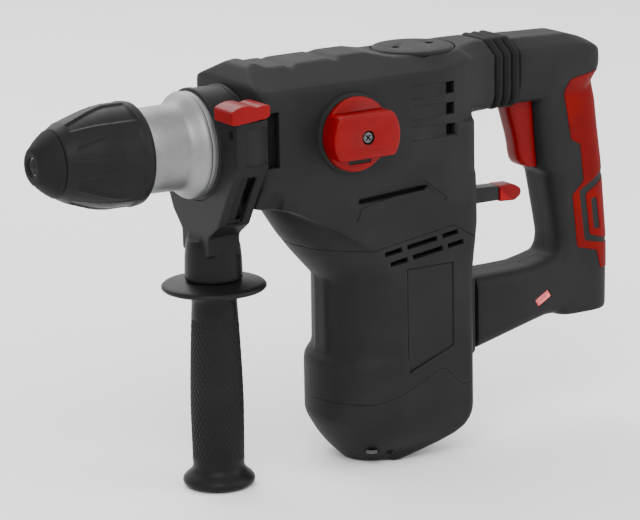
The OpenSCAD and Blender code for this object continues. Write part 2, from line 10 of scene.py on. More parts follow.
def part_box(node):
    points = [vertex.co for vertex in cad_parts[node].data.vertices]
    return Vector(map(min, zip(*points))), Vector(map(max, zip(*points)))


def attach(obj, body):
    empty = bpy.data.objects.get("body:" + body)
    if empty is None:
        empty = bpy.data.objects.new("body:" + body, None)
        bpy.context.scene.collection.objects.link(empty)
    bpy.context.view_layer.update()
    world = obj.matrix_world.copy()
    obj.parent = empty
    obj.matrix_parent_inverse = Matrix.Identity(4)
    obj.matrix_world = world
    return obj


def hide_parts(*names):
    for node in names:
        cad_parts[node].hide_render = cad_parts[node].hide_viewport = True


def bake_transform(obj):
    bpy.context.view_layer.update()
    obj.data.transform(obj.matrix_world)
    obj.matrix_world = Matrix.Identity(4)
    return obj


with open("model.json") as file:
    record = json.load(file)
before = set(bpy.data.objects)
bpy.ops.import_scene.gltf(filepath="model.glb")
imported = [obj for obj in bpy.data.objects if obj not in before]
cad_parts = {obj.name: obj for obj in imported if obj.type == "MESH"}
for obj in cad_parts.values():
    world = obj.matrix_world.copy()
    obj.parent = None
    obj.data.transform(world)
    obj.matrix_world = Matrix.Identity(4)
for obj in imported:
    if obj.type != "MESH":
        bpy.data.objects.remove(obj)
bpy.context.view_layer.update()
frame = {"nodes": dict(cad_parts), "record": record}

bl_info = {
    "name": "Rotary Hammer",
    "version": (1, 0, 0),
    "blender": (4, 5, 0),
    "location": "View3D > Sidebar > Hammer",
    "description": "Builds the finished surfaces of a rotary hammer around its fixed working parts",
    "category": "Object",
}

MM = 0.001


# ---------------------------------------------------------------- places from the frame

def span(node):
    """Lowest and highest corner of a part, in millimetres."""
    low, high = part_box(node)
    return Vector(low) / MM, Vector(high) / MM


GEAR_LOW, GEAR_HIGH = span("gear_housing")
MOTOR_LOW, MOTOR_HIGH = span("motor_housing")
CAP_LOW, CAP_HIGH = span("motor_end_cap")
BAND_LOW, BAND_HIGH = span("clamp_band")
YOKE_LOW, YOKE_HIGH = span("clamp_yoke")
GRIP_LOW, GRIP_HIGH = span("side_grip")
KNOB_LOW, KNOB_HIGH = span("mode_knob")
BEZEL_LOW, BEZEL_HIGH = span("knob_bezel")
OIL_LOW, OIL_HIGH = span("oil_cap")
HANDLE_LOW, HANDLE_HIGH = span("handle_left")
BELLOWS_LOW, BELLOWS_HIGH = span("bellows")
TRIGGER_LOW, TRIGGER_HIGH = span("trigger")
SLEEVE_LOW, SLEEVE_HIGH = span("chuck_sleeve")
BARREL_LOW, BARREL_HIGH = span("barrel")
INLET_LOW, INLET_HIGH = span("cord_inlet")
LAMP_LOW, LAMP_HIGH = span("power_lamp")

FLOOR_Z = CAP_LOW.z
GEAR_HALF_W = GEAR_HIGH.y
MOTOR_HALF_W = 42.5
SHAFT_X = (span("motor_shaft")[0].x + span("motor_shaft")[1].x) / 2
KNOB_X = (BEZEL_LOW.x + BEZEL_HIGH.x) / 2
KNOB_Z = (BEZEL_LOW.z + BEZEL_HIGH.z) / 2
GRIP_X = (GRIP_LOW.x + GRIP_HIGH.x) / 2
OIL_X = (OIL_LOW.x + OIL_HIGH.x) / 2
HANDLE_HALF_W = 19.0
ARM_X = BELLOWS_HIGH.x + 3.9
SEAM = 0.35
CAP_SCREWS = ((222, 26), (222, -26), (268, 26), (268, -26))

# Parting line between gear housing and motor housing, and the end cap's joint, in side view
PARTING = [(150, -66), (161.6, -69.7), (184, -73.6), (216.4, -76.4), (277.4, -67.6), (293, -77.3), (302, -77.3)]
CAP_JOINT = [(188, -178), (216, -179), (232, -175), (264.6, -161), (269, -161.5), (281.7, -174), (300, -174.5)]


# ---------------------------------------------------------------- shader expressions

class Wire:
    """A number inside a material. Arithmetic on it adds Math nodes."""

    def __init__(self, finish, socket):
        self.finish = finish
        self.socket = socket

    def math(self, operation, first, second=None):
        inputs = {0: first}
        if second is not None:
            inputs[1] = second
        node = self.finish.node("ShaderNodeMath", {"operation": operation}, inputs)
        return Wire(self.finish, node.outputs[0])

    def __add__(self, other):
        return self.math("ADD", self, other)

    def __radd__(self, other):
        return self.math("ADD", other, self)

    def __sub__(self, other):
        return self.math("SUBTRACT", self, other)

    def __rsub__(self, other):
        return self.math("SUBTRACT", other, self)

    def __mul__(self, other):
        return self.math("MULTIPLY", self, other)

    def __rmul__(self, other):
        return self.math("MULTIPLY", other, self)

    def __pow__(self, other):
        return self.math("POWER", self, other)

    def between(self, low, high):
        """0 at low and below, 1 at high and above."""
        node = self.finish.node("ShaderNodeMapRange", {"interpolation_type": "SMOOTHSTEP"},
                                {"Value": self, "From Min": low, "From Max": high})
        return Wire(self.finish, node.outputs[0])


class Finish:
    """One material: a Principled surface and the nodes that feed it."""

    def __init__(self, name):
        self.material = bpy.data.materials.new(name)
        self.material.use_nodes = True
        self.tree = self.material.node_tree
        self.surface = self.tree.nodes["Principled BSDF"]
        self.place = self.node("ShaderNodeTexCoord").outputs["Object"]

    def node(self, kind, settings=None, inputs=None):
        made = self.tree.nodes.new(kind)
        for key, value in (settings or {}).items():
            if key == "stops":
                ramp = made.color_ramp.elements
                for element, (position, colour) in zip(ramp, value):
                    element.position = position
                    element.color = colour
            else:
                setattr(made, key, value)
        for key, value in (inputs or {}).items():
            self.feed(made.inputs[key], value)
        return made

    def feed(self, socket, value):
        if isinstance(value, Wire):
            value = value.socket
        if isinstance(value, bpy.types.NodeSocket):
            self.tree.links.new(value, socket)
        else:
            socket.default_value = value

    def noise(self, scale, detail=4.0, rough=0.55, place=None):
        node = self.node("ShaderNodeTexNoise", None, {"Vector": place or self.place, "Scale": scale,
                                                      "Detail": detail, "Roughness": rough})
        return Wire(self, node.outputs["Fac"])

    def cells(self, scale):
        node = self.node("ShaderNodeTexVoronoi", None, {"Vector": self.place, "Scale": scale})
        return Wire(self, node.outputs["Distance"])

    def stretched(self, scale):
        node = self.node("ShaderNodeMapping", None, {"Vector": self.place, "Scale": scale})
        return node.outputs[0]

    def edges(self):
        """1 on worn outer edges."""
        return Wire(self, self.node("ShaderNodeNewGeometry").outputs["Pointiness"]).between(0.525, 0.60)

    def blend(self, amount, first, second):
        node = self.node("ShaderNodeMix", {"data_type": "RGBA"}, {0: amount, 6: first, 7: second})
        return node.outputs[2]

    def relief(self, height, depth, below=None):
        inputs = {"Height": height, "Strength": 1.0, "Distance": depth}
        if below:
            inputs["Normal"] = below
        return self.node("ShaderNodeBump", None, inputs).outputs[0]

    def set(self, **sockets):
        for key, value in sockets.items():
            self.feed(self.surface.inputs[key.replace("_", " ")], value)


def rgb(colour, gain=1.0):
    return (colour[0] * gain, colour[1] * gain, colour[2] * gain, 1.0)


def moulded_plastic(name, colour, grain, depth, rough, shine=0.1, coat=0.0):
    """Moulded plastic with a fine spark-eroded texture, scuffs and paler edges."""
    finish = Finish(name)
    speckle = finish.noise(grain, 3.0, 0.6)
    cloud = finish.noise(22.0, 5.0, 0.6)
    scuff = finish.noise(140.0, 6.0, 0.7, finish.stretched((1.0, 1.0, 0.25))).between(0.60, 0.74)
    worn = finish.edges()
    tone = finish.blend(cloud.between(0.35, 0.7), rgb(colour, 0.86), rgb(colour, 1.16))
    tone = finish.blend(worn * 0.55 + scuff * 0.10, tone, rgb(colour, 2.1))
    finish.set(Base_Color=tone, Roughness=rough + 0.10 * cloud - 0.05 * scuff - 0.05 * worn,
               Normal=finish.relief(speckle, depth), Coat_Weight=coat)
    finish.surface.inputs["Specular IOR Level"].default_value = shine
    finish.surface.inputs["Coat Roughness"].default_value = 0.25
    return finish.material


def soft_rubber(name, colour, rough):
    """Soft rubber with a fine pebble and dusty hollows."""
    finish = Finish(name)
    pebble = finish.cells(900.0)
    cloud = finish.noise(35.0, 5.0, 0.62)
    worn = finish.edges()
    tone = finish.blend(cloud.between(0.3, 0.75), rgb(colour, 0.82), rgb(colour, 1.2))
    tone = finish.blend(worn * 0.35, tone, rgb(colour, 1.9))
    finish.set(Base_Color=tone, Roughness=rough + 0.12 * cloud, Normal=finish.relief(pebble, 0.00006))
    finish.surface.inputs["Specular IOR Level"].default_value = 0.08
    return finish.material


def cast_aluminium(name, colour):
    """Bead-blasted cast aluminium with faint turning marks."""
    finish = Finish(name)
    grit = finish.noise(1500.0, 4.0, 0.7)
    cloud = finish.noise(45.0, 6.0, 0.65)
    turning = finish.noise(500.0, 2.0, 0.5, finish.stretched((1.0, 0.02, 0.02)))
    tone = finish.blend(cloud.between(0.3, 0.75), rgb(colour, 0.84), rgb(colour, 1.08))
    tone = finish.blend(grit.between(0.45, 0.8) * 0.5, tone, rgb(colour, 0.7))
    finish.set(Base_Color=tone, Roughness=0.36 + 0.16 * cloud + 0.06 * turning,
               Normal=finish.relief(grit + 0.5 * turning, 0.00009))
    finish.surface.inputs["Metallic"].default_value = 0.9
    return finish.material


def ground_steel(name, colour, rough):
    """Ground or machined metal with fine scratches."""
    finish = Finish(name)
    scratch = finish.noise(900.0, 3.0, 0.6, finish.stretched((0.05, 1.0, 1.0)))
    cloud = finish.noise(60.0, 4.0, 0.6)
    tone = finish.blend(cloud.between(0.3, 0.8), rgb(colour, 0.85), rgb(colour, 1.1))
    finish.set(Base_Color=tone, Roughness=rough + 0.15 * scratch, Normal=finish.relief(scratch, 0.00003))
    finish.surface.inputs["Metallic"].default_value = 1.0
    return finish.material


def lamp_lens(name, colour):
    """Red lens over a moulded prism pattern."""
    finish = Finish(name)
    prism = finish.noise(600.0, 1.0, 0.4, finish.stretched((1.0, 1.0, 4.0)))
    cloud = finish.noise(90.0, 3.0, 0.5)
    tone = finish.blend(cloud.between(0.45, 0.75), rgb(colour, 0.7), (0.85, 0.12, 0.12, 1.0))
    finish.set(Base_Color=tone, Roughness=0.08 + 0.1 * cloud, Normal=finish.relief(prism, 0.0001), Coat_Weight=0.8)
    return finish.material


def studio_white(name):
    """Pale paper sweep."""
    finish = Finish(name)
    fibre = finish.noise(300.0, 4.0, 0.6)
    tone = finish.blend(finish.noise(3.0).between(0.2, 0.8), (0.93, 0.93, 0.93, 1.0), (0.96, 0.96, 0.96, 1.0))
    finish.set(Base_Color=tone, Roughness=0.85 + 0.1 * fibre)
    return finish.material


def materials():
    """Every finish, made once."""
    if "housing_plastic" not in bpy.data.materials:
        look = bpy.context.scene.hammer_colours
        moulded_plastic("housing_plastic", look.housing, 1900.0, 0.00010, 0.50)
        moulded_plastic("grip_plastic", look.grip, 2300.0, 0.00005, 0.36)
        moulded_plastic("knob_plastic", look.red, 2100.0, 0.00004, 0.34, 0.12)
        # Near-black plastic for the walls of cut holes, slots and recesses: painted shade in the hollows.
        moulded_plastic("hollow_painted_shade", (0.006, 0.006, 0.006), 1900.0, 0.00010, 0.8)
        soft_rubber("black_rubber", look.rubber, 0.52)
        soft_rubber("overmould", look.overmould, 0.50)
        cast_aluminium("nose_casting", look.aluminium)
        ground_steel("bright_steel", (0.56, 0.57, 0.58), 0.26)
        ground_steel("dark_steel", (0.10, 0.10, 0.105), 0.32)
        ground_steel("copper_winding", (0.70, 0.33, 0.16), 0.30)
        moulded_plastic("carbon_block", (0.02, 0.02, 0.022), 1500.0, 0.00006, 0.55)
        lamp_lens("lamp_red", (0.45, 0.004, 0.01))
        studio_white("paper")
    return bpy.data.materials


# ---------------------------------------------------------------- mesh helpers, all sizes in millimetres

def rounded(corners, steps=5):
    """Closed outline: each corner (a, b, radius) becomes a smooth arc."""
    path = []
    count = len(corners)
    for i, corner in enumerate(corners):
        here = Vector(corner[:2])
        radius = corner[2] if len(corner) > 2 else 0.0
        back = Vector(corners[i - 1][:2]) - here
        ahead = Vector(corners[(i + 1) % count][:2]) - here
        if radius <= 0:
            path.append(here)
            continue
        half = back.angle(ahead) / 2
        reach = min(radius / math.tan(half), 0.47 * back.length, 0.47 * ahead.length)
        start = here + back.normalized() * reach
        end = here + ahead.normalized() * reach
        for k in range(steps + 1):
            t = k / steps
            path.append((1 - t) ** 2 * start + 2 * t * (1 - t) * here + t * t * end)
    return path


def side(point, y):
    return Vector((point[0], y, point[1]))


def ends(point, x):
    return Vector((x, point[0], point[1]))


def plan(point, z):
    return Vector((point[0], point[1], z))


def slab(outline, low, high, place=side):
    """Solid plate from an outline, between two levels of the axis that place leaves out."""
    bm = bmesh.new()
    face = bm.faces.new([bm.verts.new(place(p, low) * MM) for p in outline])
    made = bmesh.ops.extrude_face_region(bm, geom=[face])
    moved = [v for v in made["geom"] if isinstance(v, bmesh.types.BMVert)]
    step = (place(outline[0], high) - place(outline[0], low)) * MM
    bmesh.ops.translate(bm, verts=moved, vec=step)
    bmesh.ops.recalc_face_normals(bm, faces=bm.faces)
    return bm


def loft(levels, place=plan):
    """Solid through outlines with equal counts of points; levels are (height, outline)."""
    bm = bmesh.new()
    rings = []
    for height, outline in levels:
        verts = [bm.verts.new(place(p, height) * MM) for p in outline]
        rings.append([bm.edges.new((verts[i - 1], verts[i])) for i in range(len(verts))])
    for lower, upper in zip(rings, rings[1:]):
        bmesh.ops.bridge_loops(bm, edges=lower + upper)
    for ring in (rings[0], rings[-1]):
        bmesh.ops.contextual_create(bm, geom=ring)
    bmesh.ops.recalc_face_normals(bm, faces=bm.faces)
    return bm


def lathe(profile, centre, axis, steps=96):
    """Closed solid of revolution; profile points are (along the axis, radius)."""
    bm = bmesh.new()
    axis = Vector(axis)
    out = Vector((0, 0, 1)) if axis.x or axis.y else Vector((1, 0, 0))
    centre = Vector(centre)
    verts = [bm.verts.new((centre + axis * a + out * r) * MM) for a, r in profile]
    loop = verts if profile[0] == profile[-1] else verts + verts[:1]
    if profile[0] == profile[-1]:
        bm.verts.remove(verts.pop())
        loop = verts + verts[:1]
    edges = [bm.edges.new(pair) for pair in zip(loop, loop[1:])]
    bmesh.ops.spin(bm, geom=verts + edges, cent=centre * MM, axis=axis, angle=math.tau, steps=steps, use_merge=True)
    bmesh.ops.remove_doubles(bm, verts=bm.verts, dist=0.00001)
    bmesh.ops.dissolve_degenerate(bm, edges=bm.edges, dist=0.000001)
    bmesh.ops.recalc_face_normals(bm, faces=bm.faces)
    return bm


def block(low, high, turn=None, centre=None):
    """Box between two corners, turned about the Y axis if asked."""
    bm = bmesh.new()
    low, high = Vector(low), Vector(high)
    bmesh.ops.create_cube(bm, size=1.0, matrix=Matrix.Diagonal((*(high - low), 1)))
    bmesh.ops.translate(bm, verts=bm.verts, vec=(low + high) / 2)
    if turn:
        bmesh.ops.rotate(bm, verts=bm.verts, cent=Vector(centre), matrix=Matrix.Rotation(math.radians(turn), 3, "Y"))
    bmesh.ops.scale(bm, verts=bm.verts, vec=(MM, MM, MM))
    return bm


def rod(radius, start, end, steps=48, top=None):
    """Cylinder or cone between two points."""
    bm = bmesh.new()
    start, end = Vector(start), Vector(end)
    along = end - start
    matrix = Matrix.Translation((start + end) / 2) @ along.to_track_quat("Z", "Y").to_matrix().to_4x4()
    bmesh.ops.create_cone(bm, cap_ends=True, segments=steps, radius1=radius, radius2=radius if top is None else top,
                          depth=along.length, matrix=matrix)
    bmesh.ops.scale(bm, verts=bm.verts, vec=(MM, MM, MM))
    return bm


def slice_off(bm, point, normal):
    """Cuts away what lies beyond a plane and closes the cut."""
    cut = bmesh.ops.bisect_plane(bm, geom=bm.verts[:] + bm.edges[:] + bm.faces[:], dist=0.0000001,
                                 plane_co=Vector(point) * MM, plane_no=Vector(normal), clear_outer=True)
    edges = [e for e in cut["geom_cut"] if isinstance(e, bmesh.types.BMEdge)]
    if edges:
        bmesh.ops.contextual_create(bm, geom=edges)
    bmesh.ops.recalc_face_normals(bm, faces=bm.faces)
    return bm


def round_edges(bm, width, steps, keep):
    """Rounds the edges that keep(edge) accepts."""
    edges = [e for e in bm.edges if keep(e)]
    bmesh.ops.bevel(bm, geom=edges, offset=width * MM, affect="EDGES", segments=steps, profile=0.5,
                    material=-1, clamp_overlap=True)
    return bm


def sharper_than(degrees):
    limit = math.radians(degrees)
    return lambda edge: edge.is_manifold and edge.calc_face_angle(0.0) > limit


def piece(name, bm, finish, smooth=32):
    """Turns a bmesh into an object with one finish."""
    mesh = bpy.data.meshes.new(name)
    bm.to_mesh(mesh)
    bm.free()
    mesh.materials.append(materials()[finish])
    made = bpy.data.objects.new(name, mesh)
    bpy.context.scene.collection.objects.link(made)
    shade(made, smooth)
    return made


def shade(made, smooth=32):
    made.data.shade_smooth()
    made.data.set_sharp_from_angle(angle=math.radians(smooth))


def settle(made):
    """Applies the modifiers of a piece to its mesh."""
    graph = bpy.context.evaluated_depsgraph_get()
    mesh = bpy.data.meshes.new_from_object(made.evaluated_get(graph))
    old = made.data
    made.modifiers.clear()
    made.data = mesh
    mesh.name = made.name
    bpy.data.meshes.remove(old)


def combine(made, tool_bm, operation="DIFFERENCE", finish="hollow_painted_shade"):
    """Cuts, joins or intersects a piece with a bmesh, or with several that lie apart."""
    tools = tool_bm if isinstance(tool_bm, list) else [tool_bm]
    whole = tools[0]
    for extra in tools[1:]:
        mesh = bpy.data.meshes.new("extra")
        extra.to_mesh(mesh)
        extra.free()
        whole.from_mesh(mesh)
        bpy.data.meshes.remove(mesh)
    tool = piece("tool", whole, finish)
    step = made.modifiers.new("combine", "BOOLEAN")
    step.object = tool
    step.operation = operation
    step.solver = "EXACT"
    step.material_mode = "TRANSFER"
    settle(made)
    mesh = tool.data
    bpy.data.objects.remove(tool)
    bpy.data.meshes.remove(mesh)


def melt(made, grain, passes, finish):
    """Turns joined solids into one even skin and smooths it, so that edges and joints run softly together."""
    skin = made.modifiers.new("skin", "REMESH")
    skin.mode = "VOXEL"
    skin.voxel_size = grain * MM
    soft = made.modifiers.new("soft", "SMOOTH")
    soft.factor = 0.5
    soft.iterations = passes
    settle(made)
    made.data.materials.clear()
    made.data.materials.append(materials()[finish])
    shade(made, 30)


def twin(made, name):
    """Another piece with the same mesh."""
    bm = bmesh.new()
    bm.from_mesh(made.data)
    mesh = bpy.data.meshes.new(name)
    bm.to_mesh(mesh)
    bm.free()
    mesh.materials.append(made.data.materials[0])
    other = bpy.data.objects.new(name, mesh)
    bpy.context.scene.collection.objects.link(other)
    return other


def soften(made, width, steps=3, angle=30, smooth=32):
    """Cleans a cut mesh, then rounds its sharp edges by a small radius."""
    bm = bmesh.new()
    bm.from_mesh(made.data)
    bmesh.ops.remove_doubles(bm, verts=bm.verts, dist=0.00003)
    bmesh.ops.dissolve_degenerate(bm, edges=bm.edges, dist=0.00002)
    bmesh.ops.dissolve_limit(bm, angle_limit=math.radians(1.0), verts=bm.verts, edges=bm.edges,
                             delimit={"MATERIAL"})
    bm.to_mesh(made.data)
    bm.free()
    step = made.modifiers.new("soften", "BEVEL")
    step.width = width * MM
    step.segments = steps
    step.limit_method = "ANGLE"
    step.angle_limit = math.radians(angle)
    step.use_clamp_overlap = False
    step.miter_outer = "MITER_ARC"
    settle(made)
    shade(made, smooth)


def cad_copy(node, name, finish, width, steps=2):
    """Merged copy of a part's own mesh with softened edges."""
    bm = bmesh.new()
    bm.from_mesh(frame["nodes"][node].data)
    bmesh.ops.remove_doubles(bm, verts=bm.verts, dist=0.00002)
    made = piece(name, bm, finish)
    soften(made, width, steps)
    return made


def fit(made, body, slot, *nodes):
    """Sets the body, the slot and the parts that a piece stands for."""
    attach(made, body)
    if nodes:
        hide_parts(*nodes)
    return made


def stadium(front_x, radius, half_w, rear_x, corner, steps=24):
    """Plan outline with a half-round front and a square rear with round corners."""
    path = []
    for i in range(steps + 1):
        a = math.radians(90 + 180 * i / steps)
        path.append(Vector((front_x + radius + radius * math.cos(a), radius * math.sin(a))))
    for sign in (-1, 1):
        arc = []
        for i in range(7):
            a = math.radians(90 * i / 6)
            arc.append(Vector((rear_x - corner + corner * math.sin(a), sign * (half_w - corner + corner * math.cos(a)))))
        path += arc if sign < 0 else arc[::-1]
    return path


# ---------------------------------------------------------------- chuck and barrel

def build_chuck():
    profile = [(0.6, 5.5), (-0.9, 5.7), (-1.8, 6.8), (-2.0, 8.4), (-1.7, 10.2), (-0.6, 11.8), (1.2, 13.2),
               (4.0, 16.0), (7.6, 18.8), (10.9, 21.0), (11.5, 20.9), (11.5, 19.0), (8.0, 14.0), (2.0, 10.5), (0.6, 5.5)]
    cap = piece("dust_cap_skin", lathe(profile, (0, 0, 0), (1, 0, 0)), "black_rubber")
    fit(cap, "spindle", "rubber", "dust_cap")

    end = SLEEVE_HIGH.x
    outer = [(12.0 + (end - 13.0) * k / 68, sleeve_radius(12.0 + (end - 13.0) * k / 68)) for k in range(69)]
    profile = [(12.0, 16.5), *outer, (end, sleeve_radius(end)), (end, 29.4), (end - 2.0, 28.5), (46.0, 28.3),
               (42.0, 22.0), (24.0, 16.5), (12.0, 16.5)]
    panels = bpy.context.scene.hammer_details.sleeve_panels
    bm = lathe(profile, (0, 0, 0), (1, 0, 0), panels * 24)
    press_panels(bm, panels)
    sleeve = piece("chuck_sleeve_skin", bm, "grip_plastic", 50)
    fit(sleeve, "chuck_sleeve", "black_grip", "chuck_sleeve")


def sleeve_radius(x):
    """Outside of the chuck sleeve, without its grip fields."""
    end = SLEEVE_HIGH.x
    keys = [(12.0, 20.6), (12.6, 21.4), (15.5, 23.2), (19.0, 25.1), (26.5, 27.6), (34.0, 30.1), (41.0, 31.8),
            (46.5, 32.6), (end - 4.5, 32.7), (end - 2.2, 32.4), (end - 1.0, 31.9), (end, 30.9)]
    for (low, first), (high, second) in zip(keys, keys[1:]):
        if x <= high:
            return first + (second - first) * (x - low) / (high - low)
    return keys[-1][1]


def press_panels(bm, panels):
    """Sunk trapezoid grip fields that widen towards the rear, each with a raised edge."""
    turn = math.tau / panels
    for vert in bm.verts:
        x, y, z = vert.co / MM
        radius = math.hypot(y, z)
        if radius < sleeve_radius(x) - 0.4:
            continue
        offset = abs((math.atan2(z, y) / turn) % 1 - 0.5)
        share = 0.2 + 0.2 * min(1.0, max(0.0, (x - 19.0) / 26.0))
        inside = min((share - offset) * turn * radius, x - 18.5, SLEEVE_HIGH.x - 7.0 - x)
        sink = min(1.0, max(0.0, inside / 1.4))
        edge = max(0.0, 1.0 - abs(inside + 0.5) / 1.2)
        scale = (radius - 1.1 * sink * sink * (3 - 2 * sink) + 0.3 * edge) / radius
        vert.co.y = y * scale * MM
        vert.co.z = z * scale * MM


def build_barrel():
    rear = BARREL_HIGH.x
    profile = [(66.0, 20.0), (66.0, 25.2), (67.6, 26.6), (80.0, 26.9), (93.5, 27.1), (95.5, 27.7), (97.5, 29.0),
               (100.0, 31.2), (102.4, 33.2), (103.8, 33.8), (105.0, 33.8), (105.3, 33.5), (105.3, 32.5), (105.9, 32.5),
               (105.9, 33.2), (106.3, 33.4), (108.6, 33.4), (108.9, 33.0), (rear, 30.0), (rear, 26.0), (66.0, 20.0)]
    profile[-4:-2] = [(146.5, 33.0), (146.5, 30.0), (rear, 30.0), (rear, 26.0)][:4]
    barrel = piece("barrel_skin", lathe(profile, (0, 0, 0), (1, 0, 0), 128), "nose_casting", 40)
    fit(barrel, "housing", "cast_aluminium", "barrel")


# ---------------------------------------------------------------- housings

def gear_outline():
    """Side view of the gear housing, with the ribs across its top."""
    front, rear, top = GEAR_LOW.x, GEAR_HIGH.x - 22.5, GEAR_HIGH.z
    return [(front, -40, 2), (front, 37.5, 3), (front + 7.5, top - 1.6, 3), (front + 12.5, top, 2), (front + 16, top - 0.4, 2),
            (front + 21.5, top - 2.9, 2), (front + 34, top - 2.5, 1), (front + 36.5, top - 5.4, 1), (front + 40, top - 2.5, 2),
            (front + 67, top - 2.1, 1), (front + 69.5, top - 4.4, 1), (front + 73.5, top - 1.4, 2), (front + 93.5, top - 1.4, 6),
            (front + 111.5, top - 5.6, 6), (rear - 4, top - 5.6, 4), (rear, top - 9, 5), (rear, -84, 2), (228, -84, 0),
            (190, -60, 10), (160, -44, 10), (150, -42, 6)]


def waist_levels():
    """From the gear housing's round front down to the motor column."""
    levels = []
    low_x, low_r = SHAFT_X - MOTOR_HALF_W, MOTOR_HALF_W
    for t in (0.0, 0.12, 0.28, 0.5, 0.72, 0.9, 1.0):
        z = -36 - 64 * t
        front = 154 + (low_x - 154) * t - 4.0 * math.sin(math.pi * t)
        radius = 36 + (low_r - 36) * t
        half_w = GEAR_HALF_W - 0.2 + (MOTOR_HALF_W - GEAR_HALF_W + 0.2) * t
        rear = 298 - (4.5 * (t - 0.5) / 0.5 if t > 0.5 else 0)
        levels.append((z, stadium(front, radius, half_w, rear, 6)))
    return levels


def neck_ring(half_w, low, crease, top):
    return rounded([(-half_w, low, 15), (-half_w, crease, 3), (-half_w + 13, top, 7), (half_w - 13, top, 7),
                    (half_w, crease, 3), (half_w, low, 15)], 6)


def beyond_line(line, lift, far):
    """Region above or below a joint line, out to the height far."""
    points = [(x, z + lift) for x, z in line]
    return [(points[0][0] - 60, points[0][1]), *points, (points[-1][0] + 60, points[-1][1]), (points[-1][0] + 60, far),
            (points[0][0] - 60, far)]


def build_body():
    """One continuous body, parted into gear housing, motor housing and end cap along their joints."""
    bm = slab(rounded(gear_outline(), 4), -GEAR_HALF_W, GEAR_HALF_W)
    for sign in (-1, 1):
        slice_off(bm, (200, sign * GEAR_HALF_W, 34.0), (0, sign * 14, 29))
    body = piece("gear_housing_skin", bm, "housing_plastic")
    corners = [(GEAR_LOW.x, -GEAR_HALF_W, 7), (298.5, -GEAR_HALF_W, 11), (298.5, GEAR_HALF_W, 11),
               (GEAR_LOW.x, GEAR_HALF_W, 7)]
    combine(body, slab(rounded(corners, 6), -100, 60, plan), "INTERSECT", "housing_plastic")
    for sign in (-1, 1):
        for rear, out, drop in ((151, 0, 0), (160, 2.5, 6)):
            wedge = [(sign * 60, -14 - drop), (sign * 60, -72), (sign * (12 + 3 * out), -72), (sign * (41.5 + out), -26 - drop),
                     (sign * (41.5 + out), -14 - drop)]
            combine(body, slab(wedge, GEAR_LOW.x - 5, rear, ends), "DIFFERENCE", "housing_plastic")
        corner = [(270, sign * 60), (270, sign * 41.2), (280, sign * 39.4), (290, sign * 36.4), (300, sign * 32.0), (300, sign * 60)]
        combine(body, slab(corner, -1, 60, plan), "DIFFERENCE", "housing_plastic")
    combine(body, loft(waist_levels()), "UNION", "housing_plastic")
    neck = [(x, neck_ring(w, -1.7, c, t)) for x, w, c, t in (
        (268, 40.2, 34.0, 42.4), (280, 39.2, 34.4, 42.6), (290, 36.4, 34.8, 42.8), (298, 32.9, 35.2, 43.2),
        (305, 29.6, 35.5, 44.0), (312, 27.3, 35.7, 44.4), (GEAR_HIGH.x, 26.2, 35.8, 44.5))]
    combine(body, loft(neck, ends), "UNION", "housing_plastic")
    combine(body, loft(column_levels()), "UNION", "housing_plastic")
    low_x = SHAFT_X - MOTOR_HALF_W
    combine(body, block((low_x - 1.2, -7.5, -154), (low_x + 20, 7.5, -92)), "UNION", "housing_plastic")
    socket = slab(rounded([(270, -104, 3), (309.7, -111.6, 3), (309.7, -163.6, 3), (270, -172.5, 3)], 4), -18.6, 18.6)
    combine(body, socket, "UNION", "housing_plastic")
    details = bpy.context.scene.hammer_details
    melt(body, details.grain / MM, 7, "housing_plastic")
    column = twin(body, "motor_housing_skin")
    cap = twin(body, "motor_end_cap_skin")
    combine(body, slab(beyond_line(PARTING, 0.0, 120), -70, 70), "INTERSECT", "housing_plastic")
    combine(column, slab(beyond_line(PARTING, -SEAM, -320), -70, 70), "INTERSECT", "housing_plastic")
    combine(column, slab(beyond_line(CAP_JOINT, 0.0, 120), -70, 70), "INTERSECT", "housing_plastic")
    combine(cap, slab(beyond_line(CAP_JOINT, -SEAM, -320), -70, 70), "INTERSECT", "housing_plastic")
    open_gear_housing(body)
    open_motor_housing(column)
    open_end_cap(cap)


def column_levels():
    """Motor column, the flare round its foot and the tapered end cap."""
    low_x, wall = SHAFT_X - MOTOR_HALF_W, MOTOR_HALF_W
    levels = [(-88, stadium(low_x, wall, wall, 293.5, 6)), (-145, stadium(low_x - 0.4, wall, wall, 293.5, 6)),
              (-149, stadium(low_x - 1.6, wall + 0.1, wall, 293.5, 6)),
              (-152.5, stadium(low_x - 5.0, wall + 0.8, wall, 293.5, 6)),
              (-156, stadium(low_x - 6.5, wall + 1.3, wall, 293.5, 6)), (-184, stadium(low_x - 6.5, wall + 1.4, wall, 293.5, 6))]
    front = low_x - 6.5
    for z, in_front, in_side, in_rear in ((-191, 0, 0, 0), (-195, 1.6, 0.3, 0.6), (-199, 3.8, 0.9, 1.8), (-204, 6.6, 2.4, 4.5),
                                          (-209, 10.0, 5.2, 9.5), (-214, 14.0, 9.0, 17.5), (-218.5, 18.4, 12.6, 27.0),
                                          (-222, 22.0, 15.6, 34.0), (FLOOR_Z, 24.5, 17.8, 38.0)):
        levels.append((z, stadium(front + in_front, wall + 1.4 - in_side - 0.3 * in_front, wall - in_side,
                                  293.5 - in_rear, 6 + 0.3 * in_rear)))
    return levels


